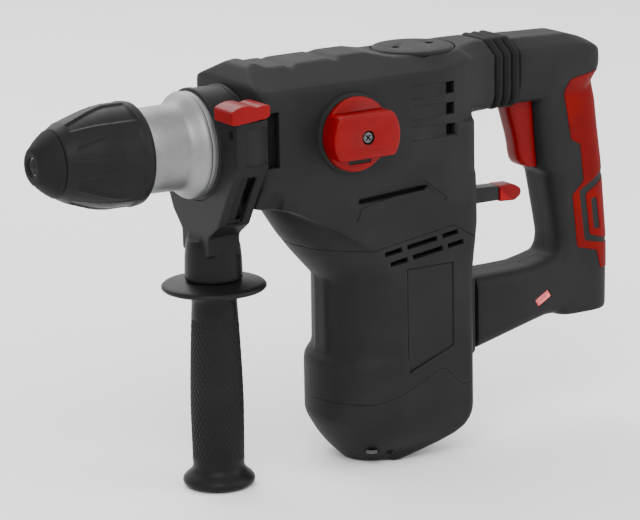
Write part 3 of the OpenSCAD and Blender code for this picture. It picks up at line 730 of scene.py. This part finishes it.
def open_gear_housing(body):
    """Collar bore, notch, air slots, lever slot and oil cap seat."""
    wall_y = -GEAR_HALF_W
    notch = [block((GEAR_LOW.x - 3, -60, -13), (GEAR_LOW.x + 14, wall_y + 5, 22))]
    combine(body, [rod(33.15, (120, 0, 0), (145, 0, 0), 96)])
    combine(body, [rod(20.5, (140, 0, 0), (192, 0, 0), 64)])
    combine(body, notch)
    frames, holes = [], []
    for z in (22.5, 9.0, -4.5):
        frames.append(block((246, -60, z - 4.6), (280.6, wall_y + 0.5, z + 4.6)))
        holes.append(block((272.6, -60, z - 3.8), (279.4, wall_y + 7, z + 3.8)))
        holes.append(block((272.6, GEAR_HALF_W - 7, z - 3.8), (279.4, 60, z + 3.8)))
    combine(body, frames, "DIFFERENCE", "housing_plastic")
    combine(body, holes)
    pocket = rounded([(200, -46, 2), (207, -37.5, 3), (255, -34.8, 3), (273, -49, 2), (270, -50.5, 1), (254, -39.0, 2),
                      (208, -47.2, 2), (204, -58, 2)], 3)
    combine(body, slab(pocket, -60, wall_y + 0.45), "DIFFERENCE", "housing_plastic")
    combine(body, slab(rounded([(206, -44.4, 1), (206, -41.2, 1), (250, -38.4, 1.5), (259, -38.6, 1.5), (255, -41.6, 1.5)], 3),
                       -60, wall_y + 5))
    combine(body, block((290, -27, -63), (304, -5, -50)))
    combine(body, [rod(27.7, (OIL_X, 0, OIL_HIGH.z - 4.4), (OIL_X, 0, 60), 72)])
    fit(body, "housing", "black_plastic", "gear_housing")


def open_motor_housing(column):
    """Label field, tongue for the rear handle, and two rows of air slots."""
    combine(column, slab([(300, -147), (300, -127), (327, -127), (327, -147)], -8, 8), "UNION", "housing_plastic")
    combine(column, [rod(4.05, (318, -20, -137), (318, 20, -137), 32)])
    label = [(240.4, -91.2), (275.8, -91.2), (275.8, -147.2), (240.4, -160.4)]
    combine(column, slab(label, -60, -MOTOR_HALF_W + 0.8), "DIFFERENCE", "housing_plastic")
    slots = []
    for sign in (-1, 1):
        y = sorted((sign * 60, sign * (MOTOR_HALF_W - 7)))
        for row in (0, 1):
            for start, length in ((0, 13), (17, 23), (44, 12)):
                low = (225 + 4 * row + start, y[0], -81.5 - 7 * row)
                high = (225 + 4 * row + start + length, y[1], -78.3 - 7 * row)
                slots.append(block(low, high, -8, (225 + 4 * row, 0, -81.5 - 7 * row)))
    combine(column, slots)
    fit(column, "housing", "black_plastic", "motor_housing")


def open_end_cap(cap):
    """Screw wells and the small mould mark."""
    combine(cap, [rod(4.3, (x, y, -240), (x, y, -211.9), 32) for x, y in CAP_SCREWS])
    combine(cap, block((231.5, -60, -226), (236.5, -24.5, -214)), "DIFFERENCE", "housing_plastic")
    fit(cap, "housing", "black_plastic", "motor_end_cap")


def build_fittings():
    """Oil cap, its seal, the label field, knob bezel and screws."""
    top = OIL_HIGH.z
    profile = [(top - 3.4, 0.01), (top - 3.4, 26.6), (top - 3.0, 27.0), (top - 1.6, 27.0), (top - 0.5, 26.2),
               (top - 0.1, 24.6), (top, 22.0), (top, 0.01)]
    cap = piece("oil_cap_skin", lathe(profile, (OIL_X, 0, 0), (0, 0, 1)), "housing_plastic")
    combine(cap, rod(18.6, (OIL_X, 0, OIL_LOW.z), (OIL_X, 0, top - 3.0), 64), "UNION", "housing_plastic")
    for sign in (-1, 1):
        combine(cap, rod(2.6, (OIL_X + sign * 13, 0, top - 2.7), (OIL_X + sign * 13, 0, top + 3), 32))
    soften(cap, 0.3, 2, 40)
    fit(cap, "housing", "black_plastic", "oil_cap")

    low_y, high_y = BEZEL_LOW.y, BEZEL_HIGH.y
    profile = [(low_y, 22.0), (low_y, 24.6), (low_y + 0.3, 25.2), (low_y + 1.0, 25.6), (high_y, 25.6), (high_y, 7.0),
               (low_y, 7.0), (low_y, 22.0)]
    bezel = piece("knob_bezel_skin", lathe(profile, (KNOB_X, 0, KNOB_Z), (0, 1, 0)), "housing_plastic")
    fit(bezel, "housing", "black_plastic", "knob_bezel")

    label = rounded([(241, -92, 1), (275, -92, 1), (275, -146.6, 1), (241, -159.6, 1)], 3)
    plate = slab(label, -MOTOR_HALF_W + 0.35, -MOTOR_HALF_W + 0.85)
    plate = piece("label_field", plate, "grip_plastic")
    soften(plate, 0.15, 1, 40)
    fit(plate, "housing", "black_plastic", "label_plate")

    heads = None
    for k, (x, y) in enumerate(CAP_SCREWS):
        head = rod(3.9, (x, y, -214.4), (x, y, -212.0), 32, 3.9)
        if heads is None:
            heads = piece("end_cap_screw_heads", head, "dark_steel")
        else:
            combine(heads, head, "UNION", "dark_steel")
        for turn in (0, 90):
            bar = block((-2.4, -0.45, -216), (2.4, 0.45, -213.2))
            bmesh.ops.rotate(bar, verts=bar.verts, cent=(0, 0, 0), matrix=Matrix.Rotation(math.radians(turn + 20 * k), 3, "Z"))
            bmesh.ops.translate(bar, verts=bar.verts, vec=Vector((x, y, 0)) * MM)
            combine(heads, bar)
    fit(heads, "housing", "steel", "end_cap_screws")


# ---------------------------------------------------------------- controls

def build_mode_knob():
    front = KNOB_LOW.y
    base = BEZEL_LOW.y - 0.3
    profile = [(base, 0.01), (base, 23.4), (base - 0.4, 23.8), (base - 2.6, 23.8), (base - 3.6, 23.4), (base - 4.0, 22.6),
               (base - 4.0, 0.01)]
    disc = piece("mode_knob_skin", lathe(profile, (KNOB_X, 0, KNOB_Z), (0, 1, 0), 96), "knob_plastic", 40)
    low, high = KNOB_Z - 13.6, KNOB_Z + 14.8
    bar = []
    for sign in (-1, 1):
        reach = 24.3
        for k in range(9):
            z = low + (high - low) * k / 8
            bow = math.sqrt(max(0.0, reach ** 2 - (z - KNOB_Z) ** 2))
            bar.append((KNOB_X + sign * bow, z))
        if sign < 0:
            bar.reverse()
    bm = slab(bar, front, base - 2)
    round_edges(bm, 2.0, 4, sharper_than(40))
    combine(disc, bm, "UNION", "knob_plastic")
    combine(disc, rod(4.4, (KNOB_X, front - 2, KNOB_Z), (KNOB_X, front + 2.6, KNOB_Z), 40))
    combine(disc, block((KNOB_X - 7, base - 6, KNOB_Z - 18.6), (KNOB_X + 9, base - 3.2, KNOB_Z - 15.2)))
    combine(disc, rod(6, (KNOB_X, base - 1, KNOB_Z), (KNOB_X, KNOB_HIGH.y, KNOB_Z), 40), "UNION", "knob_plastic")
    soften(disc, 0.35, 2, 38, 36)
    fit(disc, "mode_knob", "red_plastic", "mode_knob")

    # Near-black plate in the knob's slot window: painted shade where the slot opening is dark.
    slot_shade_plate = block((KNOB_X - 6.8, base - 3.6, KNOB_Z - 18.4), (KNOB_X + 8.8, base - 3.15, KNOB_Z - 15.4))
    slot_shade_plate = piece("mode_knob_slot_shade", slot_shade_plate, "grip_plastic")
    fit(slot_shade_plate, "mode_knob", "black_grip")

    profile = [(front + 0.4, 0.01), (front + 0.4, 2.6), (front + 0.7, 3.3), (front + 1.4, 3.7), (front + 2.3, 3.8),
               (front + 2.3, 0.01)]
    screw = piece("mode_knob_screw_skin", lathe(profile, (KNOB_X, 0, KNOB_Z), (0, 1, 0), 48), "dark_steel")
    for turn in (45, 135):
        bar = block((-2.4, front - 1, -0.42), (2.4, front + 1.5, 0.42))
        bmesh.ops.rotate(bar, verts=bar.verts, cent=(0, 0, 0), matrix=Matrix.Rotation(math.radians(turn), 3, "Y"))
        bmesh.ops.translate(bar, verts=bar.verts, vec=Vector((KNOB_X, 0, KNOB_Z)) * MM)
        combine(screw, bar)
    fit(screw, "mode_knob", "steel", "mode_knob_screw")


def build_selector():
    low, high = span("selector_lever")
    lever = [(high.x, high.z - 2.2, 0.8), (low.x + 6, high.z - 0.4, 1), (low.x + 6, low.z + 0.6, 1), (high.x, low.z + 0.4, 0.8)]
    bm = slab(rounded(lever, 3), low.y, high.y)
    round_edges(bm, 1.2, 3, sharper_than(50))
    made = piece("selector_lever_skin", bm, "grip_plastic")
    fit(made, "selector", "black_plastic", "selector_lever")
    low, high = span("selector_tip")
    tip = [(low.x, high.z - 0.2, 1.5), (low.x, low.z + 0.8, 1.0), (high.x - 5, low.z + 0.2, 3), (high.x, low.z + 3.5, 4),
           (high.x, high.z - 3.6, 4), (high.x - 5, high.z - 0.6, 3)]
    bm = slab(rounded(tip, 4), low.y, high.y)
    round_edges(bm, 2.2, 4, sharper_than(50))
    made = piece("selector_tip_skin", bm, "knob_plastic")
    fit(made, "selector", "red_plastic", "selector_tip")


def build_depth_button():
    low, high = span("depth_button")
    bottom = 22.2
    crown = high.z
    wave = [(low.x, bottom - 1.2, 1), (low.x, bottom + 7.2, 1.8), (low.x + 4, crown - 1.0, 2), (low.x + 8, crown, 3),
            (low.x + 13, crown, 3), (low.x + 17.5, crown - 1.8, 3), (low.x + 21, crown - 0.9, 2), (high.x, crown - 1.0, 1.6),
            (high.x, bottom + 2.2, 1), (high.x - 3, bottom + 0.6, 1), (low.x + 6, bottom - 1.2, 1)]
    made = piece("depth_button_skin", slab(rounded(wave, 4), low.y, high.y), "knob_plastic")
    melt(made, 0.6, 5, "knob_plastic")
    combine(made, block((109, low.y + 0.9, 18), (high.x + 4, high.y + 2, 24.6)), "DIFFERENCE", "knob_plastic")
    combine(made, block((GRIP_X - 5.6, -45.6, 19.2), (GRIP_X + 5.6, -38.4, 25.2)), "UNION", "knob_plastic")
    fit(made, "depth_button", "red_plastic", "depth_button")


# ---------------------------------------------------------------- side handle

def build_clamp():
    low, high = BAND_LOW.x, BAND_HIGH.x
    profile = [(low, 33.1), (low, 34.8), (low + 0.6, 35.4), (low + 2.6, 35.4), (low + 3.2, 34.8), (high - 3.2, 34.8),
               (high - 2.6, 35.4), (high - 0.6, 35.4), (high, 34.8), (high, 33.1), (low, 33.1)]
    band = piece("clamp_band_skin", lathe(profile, (0, 0, 0), (1, 0, 0), 128), "grip_plastic")
    fit(band, "clamp", "black_grip", "clamp_band")

    front, rear = YOKE_LOW.x, BAND_HIGH.x
    front = BAND_LOW.x + 0.5
    shape = [(-55, -8, 2), (-55, 22, 1.5), (-30, 22, 2), (-30, -20, 6), (30, -20, 3), (36, -30, 5), (28, -46, 6),
             (17, -57, 5), (17, -70, 2), (-17, -70, 2), (-17, -57, 5), (-30, -48, 6), (-43, -26, 6)]
    body = piece("clamp_yoke_skin", slab(rounded(shape, 4), front, rear, ends), "grip_plastic")
    hub = lathe([(-88, 0.01), (-88, 17.6), (-87.4, 18.3), (-86, 18.5), (-74, 18.2), (-66, 17.4), (-61.5, 16.0), (-61.5, 0.01)],
                (GRIP_X, 0, 0), (0, 0, 1), 72)
    combine(body, hub, "UNION", "grip_plastic")
    combine(body, slab([(front + 1, -50), (rear + 1.5, -50), (rear + 4, -70), (front - 2, -70)], -8, 8), "UNION", "grip_plastic")
    pocket = [(-62, -14), (-46, -14), (-38, -27), (-27, -46), (-45, -60), (-62, -30)]
    combine(body, slab(pocket, front + 6.0, rear - 6.0, ends), "DIFFERENCE", "grip_plastic")
    melt(body, 0.8, 4, "grip_plastic")
    combine(body, rod(35.6, (front - 5, 0, 0), (rear + 8, 0, 0), 96), "DIFFERENCE", "grip_plastic")
    combine(body, rod(3.1, (front - 5, -48, 13.5), (rear + 5, -48, 13.5), 32))
    for sign in (-1, 1):
        pocket = rounded([(sign * 45, -14, 2), (sign * 40, -27, 2), (sign * 31, -40, 2), (sign * 33, -20, 2)], 3)
        if sign < 0:
            pocket = rounded([(-51, -9, 2), (-42, -9, 2), (-33, -22, 2), (-22, -45, 2), (-28, -45, 2), (-39, -28, 2)], 3)
            combine(body, slab(pocket, rear - 9, rear + 5, ends), "DIFFERENCE", "grip_plastic")
    combine(body, block((front + 6.2, -57, -6.4), (rear + 3, -54.2, 17.4)), "DIFFERENCE", "grip_plastic")
    combine(body, block((GRIP_X - 6, -46, 16.5), (GRIP_X + 6, -38, 23.5)))
    combine(body, rod(4.3, (GRIP_X, 0, -95), (GRIP_X, 0, -55), 32))
    fit(body, "clamp", "black_grip", "clamp_yoke")


def build_side_grip():
    """Turned grip: guard, waist, knurled barrel and end bulb."""
    guard = GRIP_HIGH.x - GRIP_X
    floor = GRIP_LOW.z
    knurl_top, knurl_end = -112.0, -206.0
    plain_top = [(-88.4, 4.6), (-88.4, 18.4), (-88.9, 20.0), (-90.2, guard - 3.4), (-90.9, guard - 1.2), (-92.0, guard),
                 (-93.2, guard), (-94.2, guard - 1.0), (-94.8, guard - 4.0), (-96.2, 21.0), (-97.6, 17.2), (-99.6, 15.2),
                 (-102.0, 14.5), (-106.0, 14.6), (-111.0, 15.0)]
    plain_end = [(-207.0, 16.6), (-210.0, 16.4), (-212.4, 17.0), (-214.6, 19.0), (-216.8, 21.6), (-218.6, 22.9),
                 (-220.2, 23.2), (-221.8, 22.6), (-223.2, 20.8), (floor, 18.8), (floor, 4.6)]
    rows = 188
    field = []
    for k in range(rows + 1):
        z = knurl_top + (knurl_end - knurl_top) * k / rows
        field.append((z, belly(z)))
    profile = plain_top + field + plain_end + [plain_top[0]]
    around = 216
    bm = lathe(profile, (GRIP_X, 0, 0), (0, 0, 1), around)
    pitch = bpy.context.scene.hammer_details.knurl_pitch / MM
    starts = 30
    for vert in bm.verts:
        x, y, z = vert.co.x / MM - GRIP_X, vert.co.y / MM, vert.co.z / MM
        radius = math.hypot(x, y)
        if radius < 12 or not knurl_end < z < knurl_top:
            continue
        turn = math.atan2(y, x) * starts / math.tau
        rise = z / (pitch * 1.7)
        left = abs(((turn + rise) % 1) - 0.5) * 2
        right = abs(((turn - rise) % 1) - 0.5) * 2
        fade = min(1.0, (knurl_top - z) / 2.0, (z - knurl_end) / 2.0)
        depth = 0.62 * fade * (1 - min(left, right, 0.55) / 0.55)
        scale = (radius - depth) / radius
        vert.co.x = (GRIP_X + x * scale) * MM
        vert.co.y = y * scale * MM
    grip = piece("side_grip_skin", bm, "grip_plastic", 60)
    fit(grip, "side_grip", "black_grip", "side_grip")


def belly(z):
    """Radius of the knurled barrel: waisted at the top, fuller in the middle."""
    t = (-112.0 - z) / 94.0
    return 15.0 + 2.2 * math.sin(min(1.0, t * 1.35) * math.pi / 2) - 0.6 * max(0.0, t - 0.6) / 0.4


# ---------------------------------------------------------------- rear handle

def grip_ring(front, rear, half_w, front_r=12.0, rear_r=15.5):
    return rounded([(front, -half_w, front_r), (rear, -half_w, rear_r), (rear, half_w, rear_r), (front, half_w, front_r)], 8)


def arm_ring(low, foot_w, belt, half_w, crease, roof_w, top):
    return rounded([(-foot_w, low, 4), (-half_w, belt, 4), (-half_w, crease, 3), (-roof_w, top, 5), (roof_w, top, 5),
                    (half_w, crease, 3), (half_w, belt, 4), (foot_w, low, 4)], 5)


def handle_solid():
    """Grip column, upper arm and lower arm as one soft skin."""
    half_w = HANDLE_HALF_W
    column = []
    for z, front, rear in ((-149.8, 379, 420.0), (-147, 374, 421.2), (-130, 371, 421.4), (-112, 372.5, 421.4), (-104, 377.5, 421.3),
                           (-97, 378.4, 421.0), (-82.5, 375.8, 419.8), (-66, 372.6, 418.4), (-52, 369.8, 417.2),
                           (-48, 364.9, 416.9), (-25, 362.6, 413.7), (-4, 361.0, 411.2), (2, 361.0, 410.2), (8, 362.5, 409.0),
                           (14, 366, 407.8), (20, 370, 407.0)):
        column.append((z, grip_ring(front, rear, half_w - (0.8 if z > -4 else 0))))
    whole = piece("handle_left_skin", loft(column), "housing_plastic")
    arm = []
    for x, low, foot, belt, w, crease, roof, top in (
            (ARM_X, -0.2, 17.5, 14.0, 26, 35.6, 13, 43.0), (386, -0.2, 17.5, 14.5, 26, 35.0, 13, 41.6),
            (396, 2, 18, 15.5, 25.4, 34.4, 13, 38.8), (402, 8, 18, 16.5, 24.2, 33.4, 13, 36.2),
            (406, 12, 16, 18, 22.4, 31.8, 12.5, 33.8), (408.3, 15, 13, 20, 19.6, 29.6, 10, 31.0)):
        arm.append((x, arm_ring(low, foot, belt, w, crease, roof, top)))
    combine(whole, loft(arm, ends), "UNION", "housing_plastic")
    foot = []
    for x, low, top in ((310.9, -162.2, -112.8), (340, -155, -112.8), (356, -151, -112.4), (368, -148.2, -110), (384, -148, -106)):
        foot.append((x, rounded([(-half_w, low, 9), (-half_w, top, 9), (half_w, top, 9), (half_w, low, 9)], 6)))
    combine(whole, loft(foot, ends), "UNION", "housing_plastic")
    melt(whole, 1.25, 8, "housing_plastic")
    return whole


def soft_field():
    """Side outline of the red cover."""
    return rounded([(381.4, 13.0, 3), (380.2, 5, 3), (386.2, -29.0, 3), (393.6, -33.4, 3), (396.6, -58.6, 3), (387.4, -67, 2.5),
                    (391.4, -103.4, 2.5), (407.5, -107.4, 2), (410.8, -120.5, 2), (440, -121, 0), (440, 16.5, 0),
                    (402, 16.4, 3)], 4)


def build_handle():
    whole = handle_solid()
    cover = twin(whole, "soft_grip_skin")
    combine(whole, block((354, -9.4, -47.4), (378, 9.4, 0.4)))
    combine(whole, block((ARM_X - 6, -16, 5), (ARM_X + 6, 16, 32)))
    combine(whole, slab([(300, -148.5), (331, -148.5), (331, -125.5), (300, -125.5)], -8.6, 8.6))
    combine(whole, [rod(4.05, (318, -15.6, -137), (318, 15.6, -137), 32)])
    combine(whole, [rod(9.1, (395, 0, -170), (395, 0, -134), 48)])
    other = twin(whole, "handle_right_skin")
    combine(whole, block((300, -40, -170), (440, -0.06, 70)), "INTERSECT", "housing_plastic")
    combine(other, block((300, 0.06, -170), (440, 40, 70)), "INTERSECT", "housing_plastic")
    combine(whole, lamp_block(0.15, 5))
    fit(whole, "rear_handle", "black_plastic", "handle_left")
    fit(other, "rear_handle", "black_plastic", "handle_right")
    build_soft_grip(cover)


def build_soft_grip(cover):
    """Red cover that stands a little proud, with a dark band and slit let into each side."""
    cover.data.materials.clear()
    cover.data.materials.append(materials()["overmould"])
    inflate(cover, 0.4)
    combine(cover, slab(soft_field(), -40, 40), "INTERSECT", "overmould")
    band = rounded([(440, -40, 0), (412.3, -53.8, 3), (392.8, -64.9, 3), (397.2, -99.6, 2.5), (415, -103.6, 2), (440, -105, 0),
                    (440, -101, 0), (415, -100.0, 2), (401.7, -96.1, 2.5), (398.2, -67.8, 3), (412.8, -59.6, 3), (440, -46, 0)], 4)
    slit = rounded([(402.6, -71.6, 1.5), (407.2, -70.6, 1.5), (410.6, -92.8, 1.5), (404.9, -92.6, 1.5)], 4)
    for outline in (band, slit):
        combine(cover, slab(outline, -40, 40), "DIFFERENCE", "overmould")
    fit(cover, "rear_handle", "red_rubber", "soft_grip")


def inflate(made, amount):
    """Moves a skin out along its normals so that it stands proud of what it covers."""
    bm = bmesh.new()
    bm.from_mesh(made.data)
    bm.normal_update()
    for vert in bm.verts:
        vert.co += vert.normal * amount * MM
    bm.to_mesh(made.data)
    bm.free()


def lamp_block(clear, depth):
    bm = bmesh.new()
    centre = Vector((363.5, -HANDLE_HALF_W, -134.5))
    size = Vector((12 + 2 * clear, 2 * depth, 5.6 + 2 * clear))
    bmesh.ops.create_cube(bm, size=1.0, matrix=Matrix.Diagonal((*size, 1)))
    bmesh.ops.rotate(bm, verts=bm.verts, cent=(0, 0, 0), matrix=Matrix.Rotation(math.radians(-30), 3, "Y"))
    bmesh.ops.translate(bm, verts=bm.verts, vec=centre)
    bmesh.ops.scale(bm, verts=bm.verts, vec=(MM, MM, MM))
    return bm


def build_handle_fittings():
    bm = lamp_block(-0.1, 0.35)
    bmesh.ops.translate(bm, verts=bm.verts, vec=(0, 0.0006, 0))
    round_edges(bm, 0.5, 3, sharper_than(50))
    lamp = piece("power_lamp_lens", bm, "lamp_red")
    fit(lamp, "rear_handle", "lamp", "power_lamp")

    low, high = INLET_LOW.z, INLET_HIGH.z
    profile = [(low, 4.4), (low, 7.6), (low + 0.6, 8.6), (low + 2, 9.0), (high, 9.0), (high, 4.2), (low + 0.8, 4.2), (low, 4.4)]
    inlet = piece("cord_inlet_skin", lathe(profile, ((INLET_LOW.x + INLET_HIGH.x) / 2, 0, 0), (0, 0, 1), 64), "black_rubber")
    fit(inlet, "rear_handle", "rubber", "cord_inlet")

    levels = []
    back = TRIGGER_HIGH.x - 0.5
    for z, front, rear, radius in ((-46.5, 361.0, back - 0.5, 4.0), (-46.0, 357.5, back, 5.0), (-44.0, 354.1, back, 6.0),
                                   (-40.8, 352.1, back, 6.5), (-36, 350.9, back, 6.5), (-31, 350.3, back, 6.5),
                                   (-24, 348.7, back, 6.5), (-16, 346.4, back, 6.5), (-8, 344.1, back, 6.5),
                                   (-4, 342.9, back - 0.5, 6.0), (-1.2, 342.2, back - 1.5, 5.0)):
        ring = rounded([(front, -8.8, radius), (rear, -8.8, 1.0), (rear, 8.8, 1.0), (front, 8.8, radius)], 8)
        levels.append((z, ring))
    trigger = piece("trigger_skin", loft(levels), "knob_plastic", 40)
    fit(trigger, "trigger", "red_plastic", "trigger")


def build_bellows():
    """Three narrow folds between the gear housing's neck and the upper arm."""
    start, end = GEAR_HIGH.x + 0.05, ARM_X - 0.3
    waves = bpy.context.scene.hammer_details.bellows_ribs
    count = waves * 12
    levels = []
    for k in range(count + 1):
        t = k / count
        fold = abs(math.sin(math.pi * t * waves)) ** 0.6
        levels.append((start + (end - start) * t, neck_ring(24.6 + 2.4 * fold, 0.4 - 2.4 * fold, 35.2 + 0.8 * fold,
                                                            43.0 + 2.2 * fold)))
    made = piece("bellows_skin", loft(levels, ends), "black_rubber", 50)
    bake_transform(made)
    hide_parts("bellows")


# ---------------------------------------------------------------- inner parts and stage

SLOT_FINISH = {"black_plastic": "housing_plastic", "black_grip": "grip_plastic", "rubber": "black_rubber",
               "cast_aluminium": "nose_casting", "steel": "bright_steel", "red_plastic": "knob_plastic",
               "red_rubber": "overmould", "copper": "copper_winding", "carbon": "carbon_block", "lamp": "lamp_red"}


def finish_inner_parts():
    slots = {part["node"]: part["material_slot"] for part in frame["record"]["subparts"]}
    for name, part in frame["nodes"].items():
        finish = materials()[SLOT_FINISH[slots[name]]]
        if not part.material_slots:
            part.data.materials.append(finish)
        for slot in part.material_slots:
            slot.material = finish


def build_stage():
    bm = bmesh.new()
    bmesh.ops.create_grid(bm, x_segments=8, y_segments=8, size=4.0)
    bmesh.ops.translate(bm, verts=bm.verts, vec=(0.2, 0, FLOOR_Z * MM - 0.0002))
    floor = piece("paper_floor", bm, "paper")
    world = bpy.data.worlds.new("soft_studio")
    world.use_nodes = True
    world.node_tree.nodes["Background"].inputs[0].default_value = (1, 1, 1, 1)
    world.node_tree.nodes["Background"].inputs[1].default_value = bpy.context.scene.hammer_stage.sky
    bpy.context.scene.world = world
    stage = bpy.context.scene.hammer_stage
    for name, place, size, power in (("key_light", (-0.9, -1.5, 1.5), 1.2, stage.key),
                                     ("fill_light", (1.4, -1.2, 0.7), 1.4, stage.fill),
                                     ("rim_light", (0.3, 1.5, 1.4), 1.5, stage.rim)):
        light = bpy.data.lights.new(name, "AREA")
        light.energy = power
        light.size = size
        lamp = bpy.data.objects.new(name, light)
        lamp.location = place
        aim = Vector((0.2, 0, -0.08)) - Vector(place)
        lamp.rotation_euler = aim.to_track_quat("-Z", "Y").to_euler()
        bpy.context.scene.collection.objects.link(lamp)
    build_camera()


def build_camera():
    azimuth, elevation, roll = math.radians(-31.4), math.radians(14.2), math.radians(-1.1)
    away = Vector((math.sin(azimuth) * math.cos(elevation), -math.cos(azimuth) * math.cos(elevation), math.sin(elevation)))
    right = Vector((math.cos(azimuth), math.sin(azimuth), 0))
    up = away.cross(right)
    right, up = (math.cos(roll) * right + math.sin(roll) * up, math.cos(roll) * up - math.sin(roll) * right)
    place = Vector((0.201, 0, 0)) + away * 2.0347 + right * 0.0018 - up * 0.0852
    view = Matrix((right, up, away)).transposed().to_4x4()
    view.translation = place
    lens = bpy.data.cameras.new("camera")
    lens.lens = 180.0
    lens.sensor_width = 36.0
    camera = bpy.data.objects.new("camera", lens)
    camera.matrix_world = view
    bpy.context.scene.collection.objects.link(camera)
    bpy.context.scene.camera = camera


# ---------------------------------------------------------------- add-on layout

class HammerColours(bpy.types.PropertyGroup):
    housing: FloatVectorProperty(name="Housing", description="Colour of the moulded housings", subtype="COLOR",
                                 default=(0.0125, 0.0125, 0.0128), min=0, max=1)
    grip: FloatVectorProperty(name="Grip", description="Colour of the side handle and the chuck sleeve", subtype="COLOR",
                              default=(0.0080, 0.0080, 0.0082), min=0, max=1)
    red: FloatVectorProperty(name="Red", description="Colour of the knob, the trigger and the button", subtype="COLOR",
                             default=(0.15, 0.0, 0.001), min=0, max=1)
    overmould: FloatVectorProperty(name="Overmould", description="Colour of the soft cover on the rear handle",
                                   subtype="COLOR", default=(0.12, 0.0, 0.0), min=0, max=1)
    rubber: FloatVectorProperty(name="Rubber", description="Colour of the bellows and the dust cap", subtype="COLOR",
                                default=(0.008, 0.008, 0.008), min=0, max=1)
    aluminium: FloatVectorProperty(name="Aluminium", description="Colour of the cast nose", subtype="COLOR",
                                   default=(0.22, 0.222, 0.226), min=0, max=1)


class HammerDetails(bpy.types.PropertyGroup):
    sleeve_panels: IntProperty(name="Sleeve panels", description="Grip fields round the chuck sleeve", default=8, min=6, max=12)
    bellows_ribs: IntProperty(name="Bellows ribs", description="Folds of the bellows", default=3, min=2, max=4)
    grain: FloatProperty(name="Skin grain", description="Spacing of the mesh on the smooth housings", default=0.0015, min=0.001,
                         max=0.004, unit="LENGTH")
    knurl_pitch: FloatProperty(name="Knurl pitch", description="Height of one knurl diamond", default=0.0034, min=0.002,
                               max=0.006, unit="LENGTH")


class HammerStage(bpy.types.PropertyGroup):
    sky: FloatProperty(name="Sky", description="Strength of the even studio light", default=1.4, min=0)
    key: FloatProperty(name="Key", description="Power of the main light", default=34.0, min=0, unit="POWER")
    fill: FloatProperty(name="Fill", description="Power of the fill light", default=14.0, min=0, unit="POWER")
    rim: FloatProperty(name="Rim", description="Power of the light behind", default=26.0, min=0, unit="POWER")


def part_operator(name, label, text, *steps):
    """Operator class that runs the given building steps."""
    def execute(self, context):
        for step in steps:
            step()
        return {"FINISHED"}
    return type("HAMMER_OT_" + name, (bpy.types.Operator,),
                {"bl_idname": "hammer." + name, "bl_label": label, "__doc__": text, "execute": execute})


OPERATORS = [
    part_operator("stage", "Stage", "Floor, lights and camera", build_stage),
    part_operator("inner_parts", "Inner parts", "Finishes on every working part", finish_inner_parts),
    part_operator("chuck", "Chuck", "Dust cap and chuck sleeve", build_chuck),
    part_operator("barrel", "Barrel", "Cast aluminium nose", build_barrel),
    part_operator("housings", "Housings", "Gear housing, motor housing and end cap", build_body),
    part_operator("fittings", "Fittings", "Oil cap, bezel, label field and screws", build_fittings),
    part_operator("mode_knob", "Mode knob", "Red mode knob and its screw", build_mode_knob),
    part_operator("selector", "Selector", "Rear lever with its red tip", build_selector),
    part_operator("depth_button", "Depth button", "Red button of the depth stop", build_depth_button),
    part_operator("clamp", "Clamp", "Band and yoke of the side handle", build_clamp),
    part_operator("side_grip", "Side grip", "Knurled grip with its guard", build_side_grip),
    part_operator("handle", "Rear handle", "Handle shells and soft cover", build_handle),
    part_operator("handle_fittings", "Handle fittings", "Trigger, lamp and cord inlet", build_handle_fittings),
    part_operator("bellows", "Bellows", "Rubber bellows of the damped handle", build_bellows),
]


class HAMMER_PT_parts(bpy.types.Panel):
    bl_label = "Rotary Hammer"
    bl_idname = "HAMMER_PT_parts"
    bl_space_type = "VIEW_3D"
    bl_region_type = "UI"
    bl_category = "Hammer"

    def draw(self, context):
        for operator in OPERATORS:
            self.layout.operator(operator.bl_idname)


CLASSES = [HammerColours, HammerDetails, HammerStage, *OPERATORS, HAMMER_PT_parts]


def register():
    for item in CLASSES:
        bpy.utils.register_class(item)
    bpy.types.Scene.hammer_colours = PointerProperty(type=HammerColours)
    bpy.types.Scene.hammer_details = PointerProperty(type=HammerDetails)
    bpy.types.Scene.hammer_stage = PointerProperty(type=HammerStage)


def unregister():
    del bpy.types.Scene.hammer_stage
    del bpy.types.Scene.hammer_details
    del bpy.types.Scene.hammer_colours
    for item in reversed(CLASSES):
        bpy.utils.unregister_class(item)


def main():
    register()
    for operator in OPERATORS:
        group, name = operator.bl_idname.split(".")
        getattr(getattr(bpy.ops, group), name)()


if __name__ == "__main__":
    main()
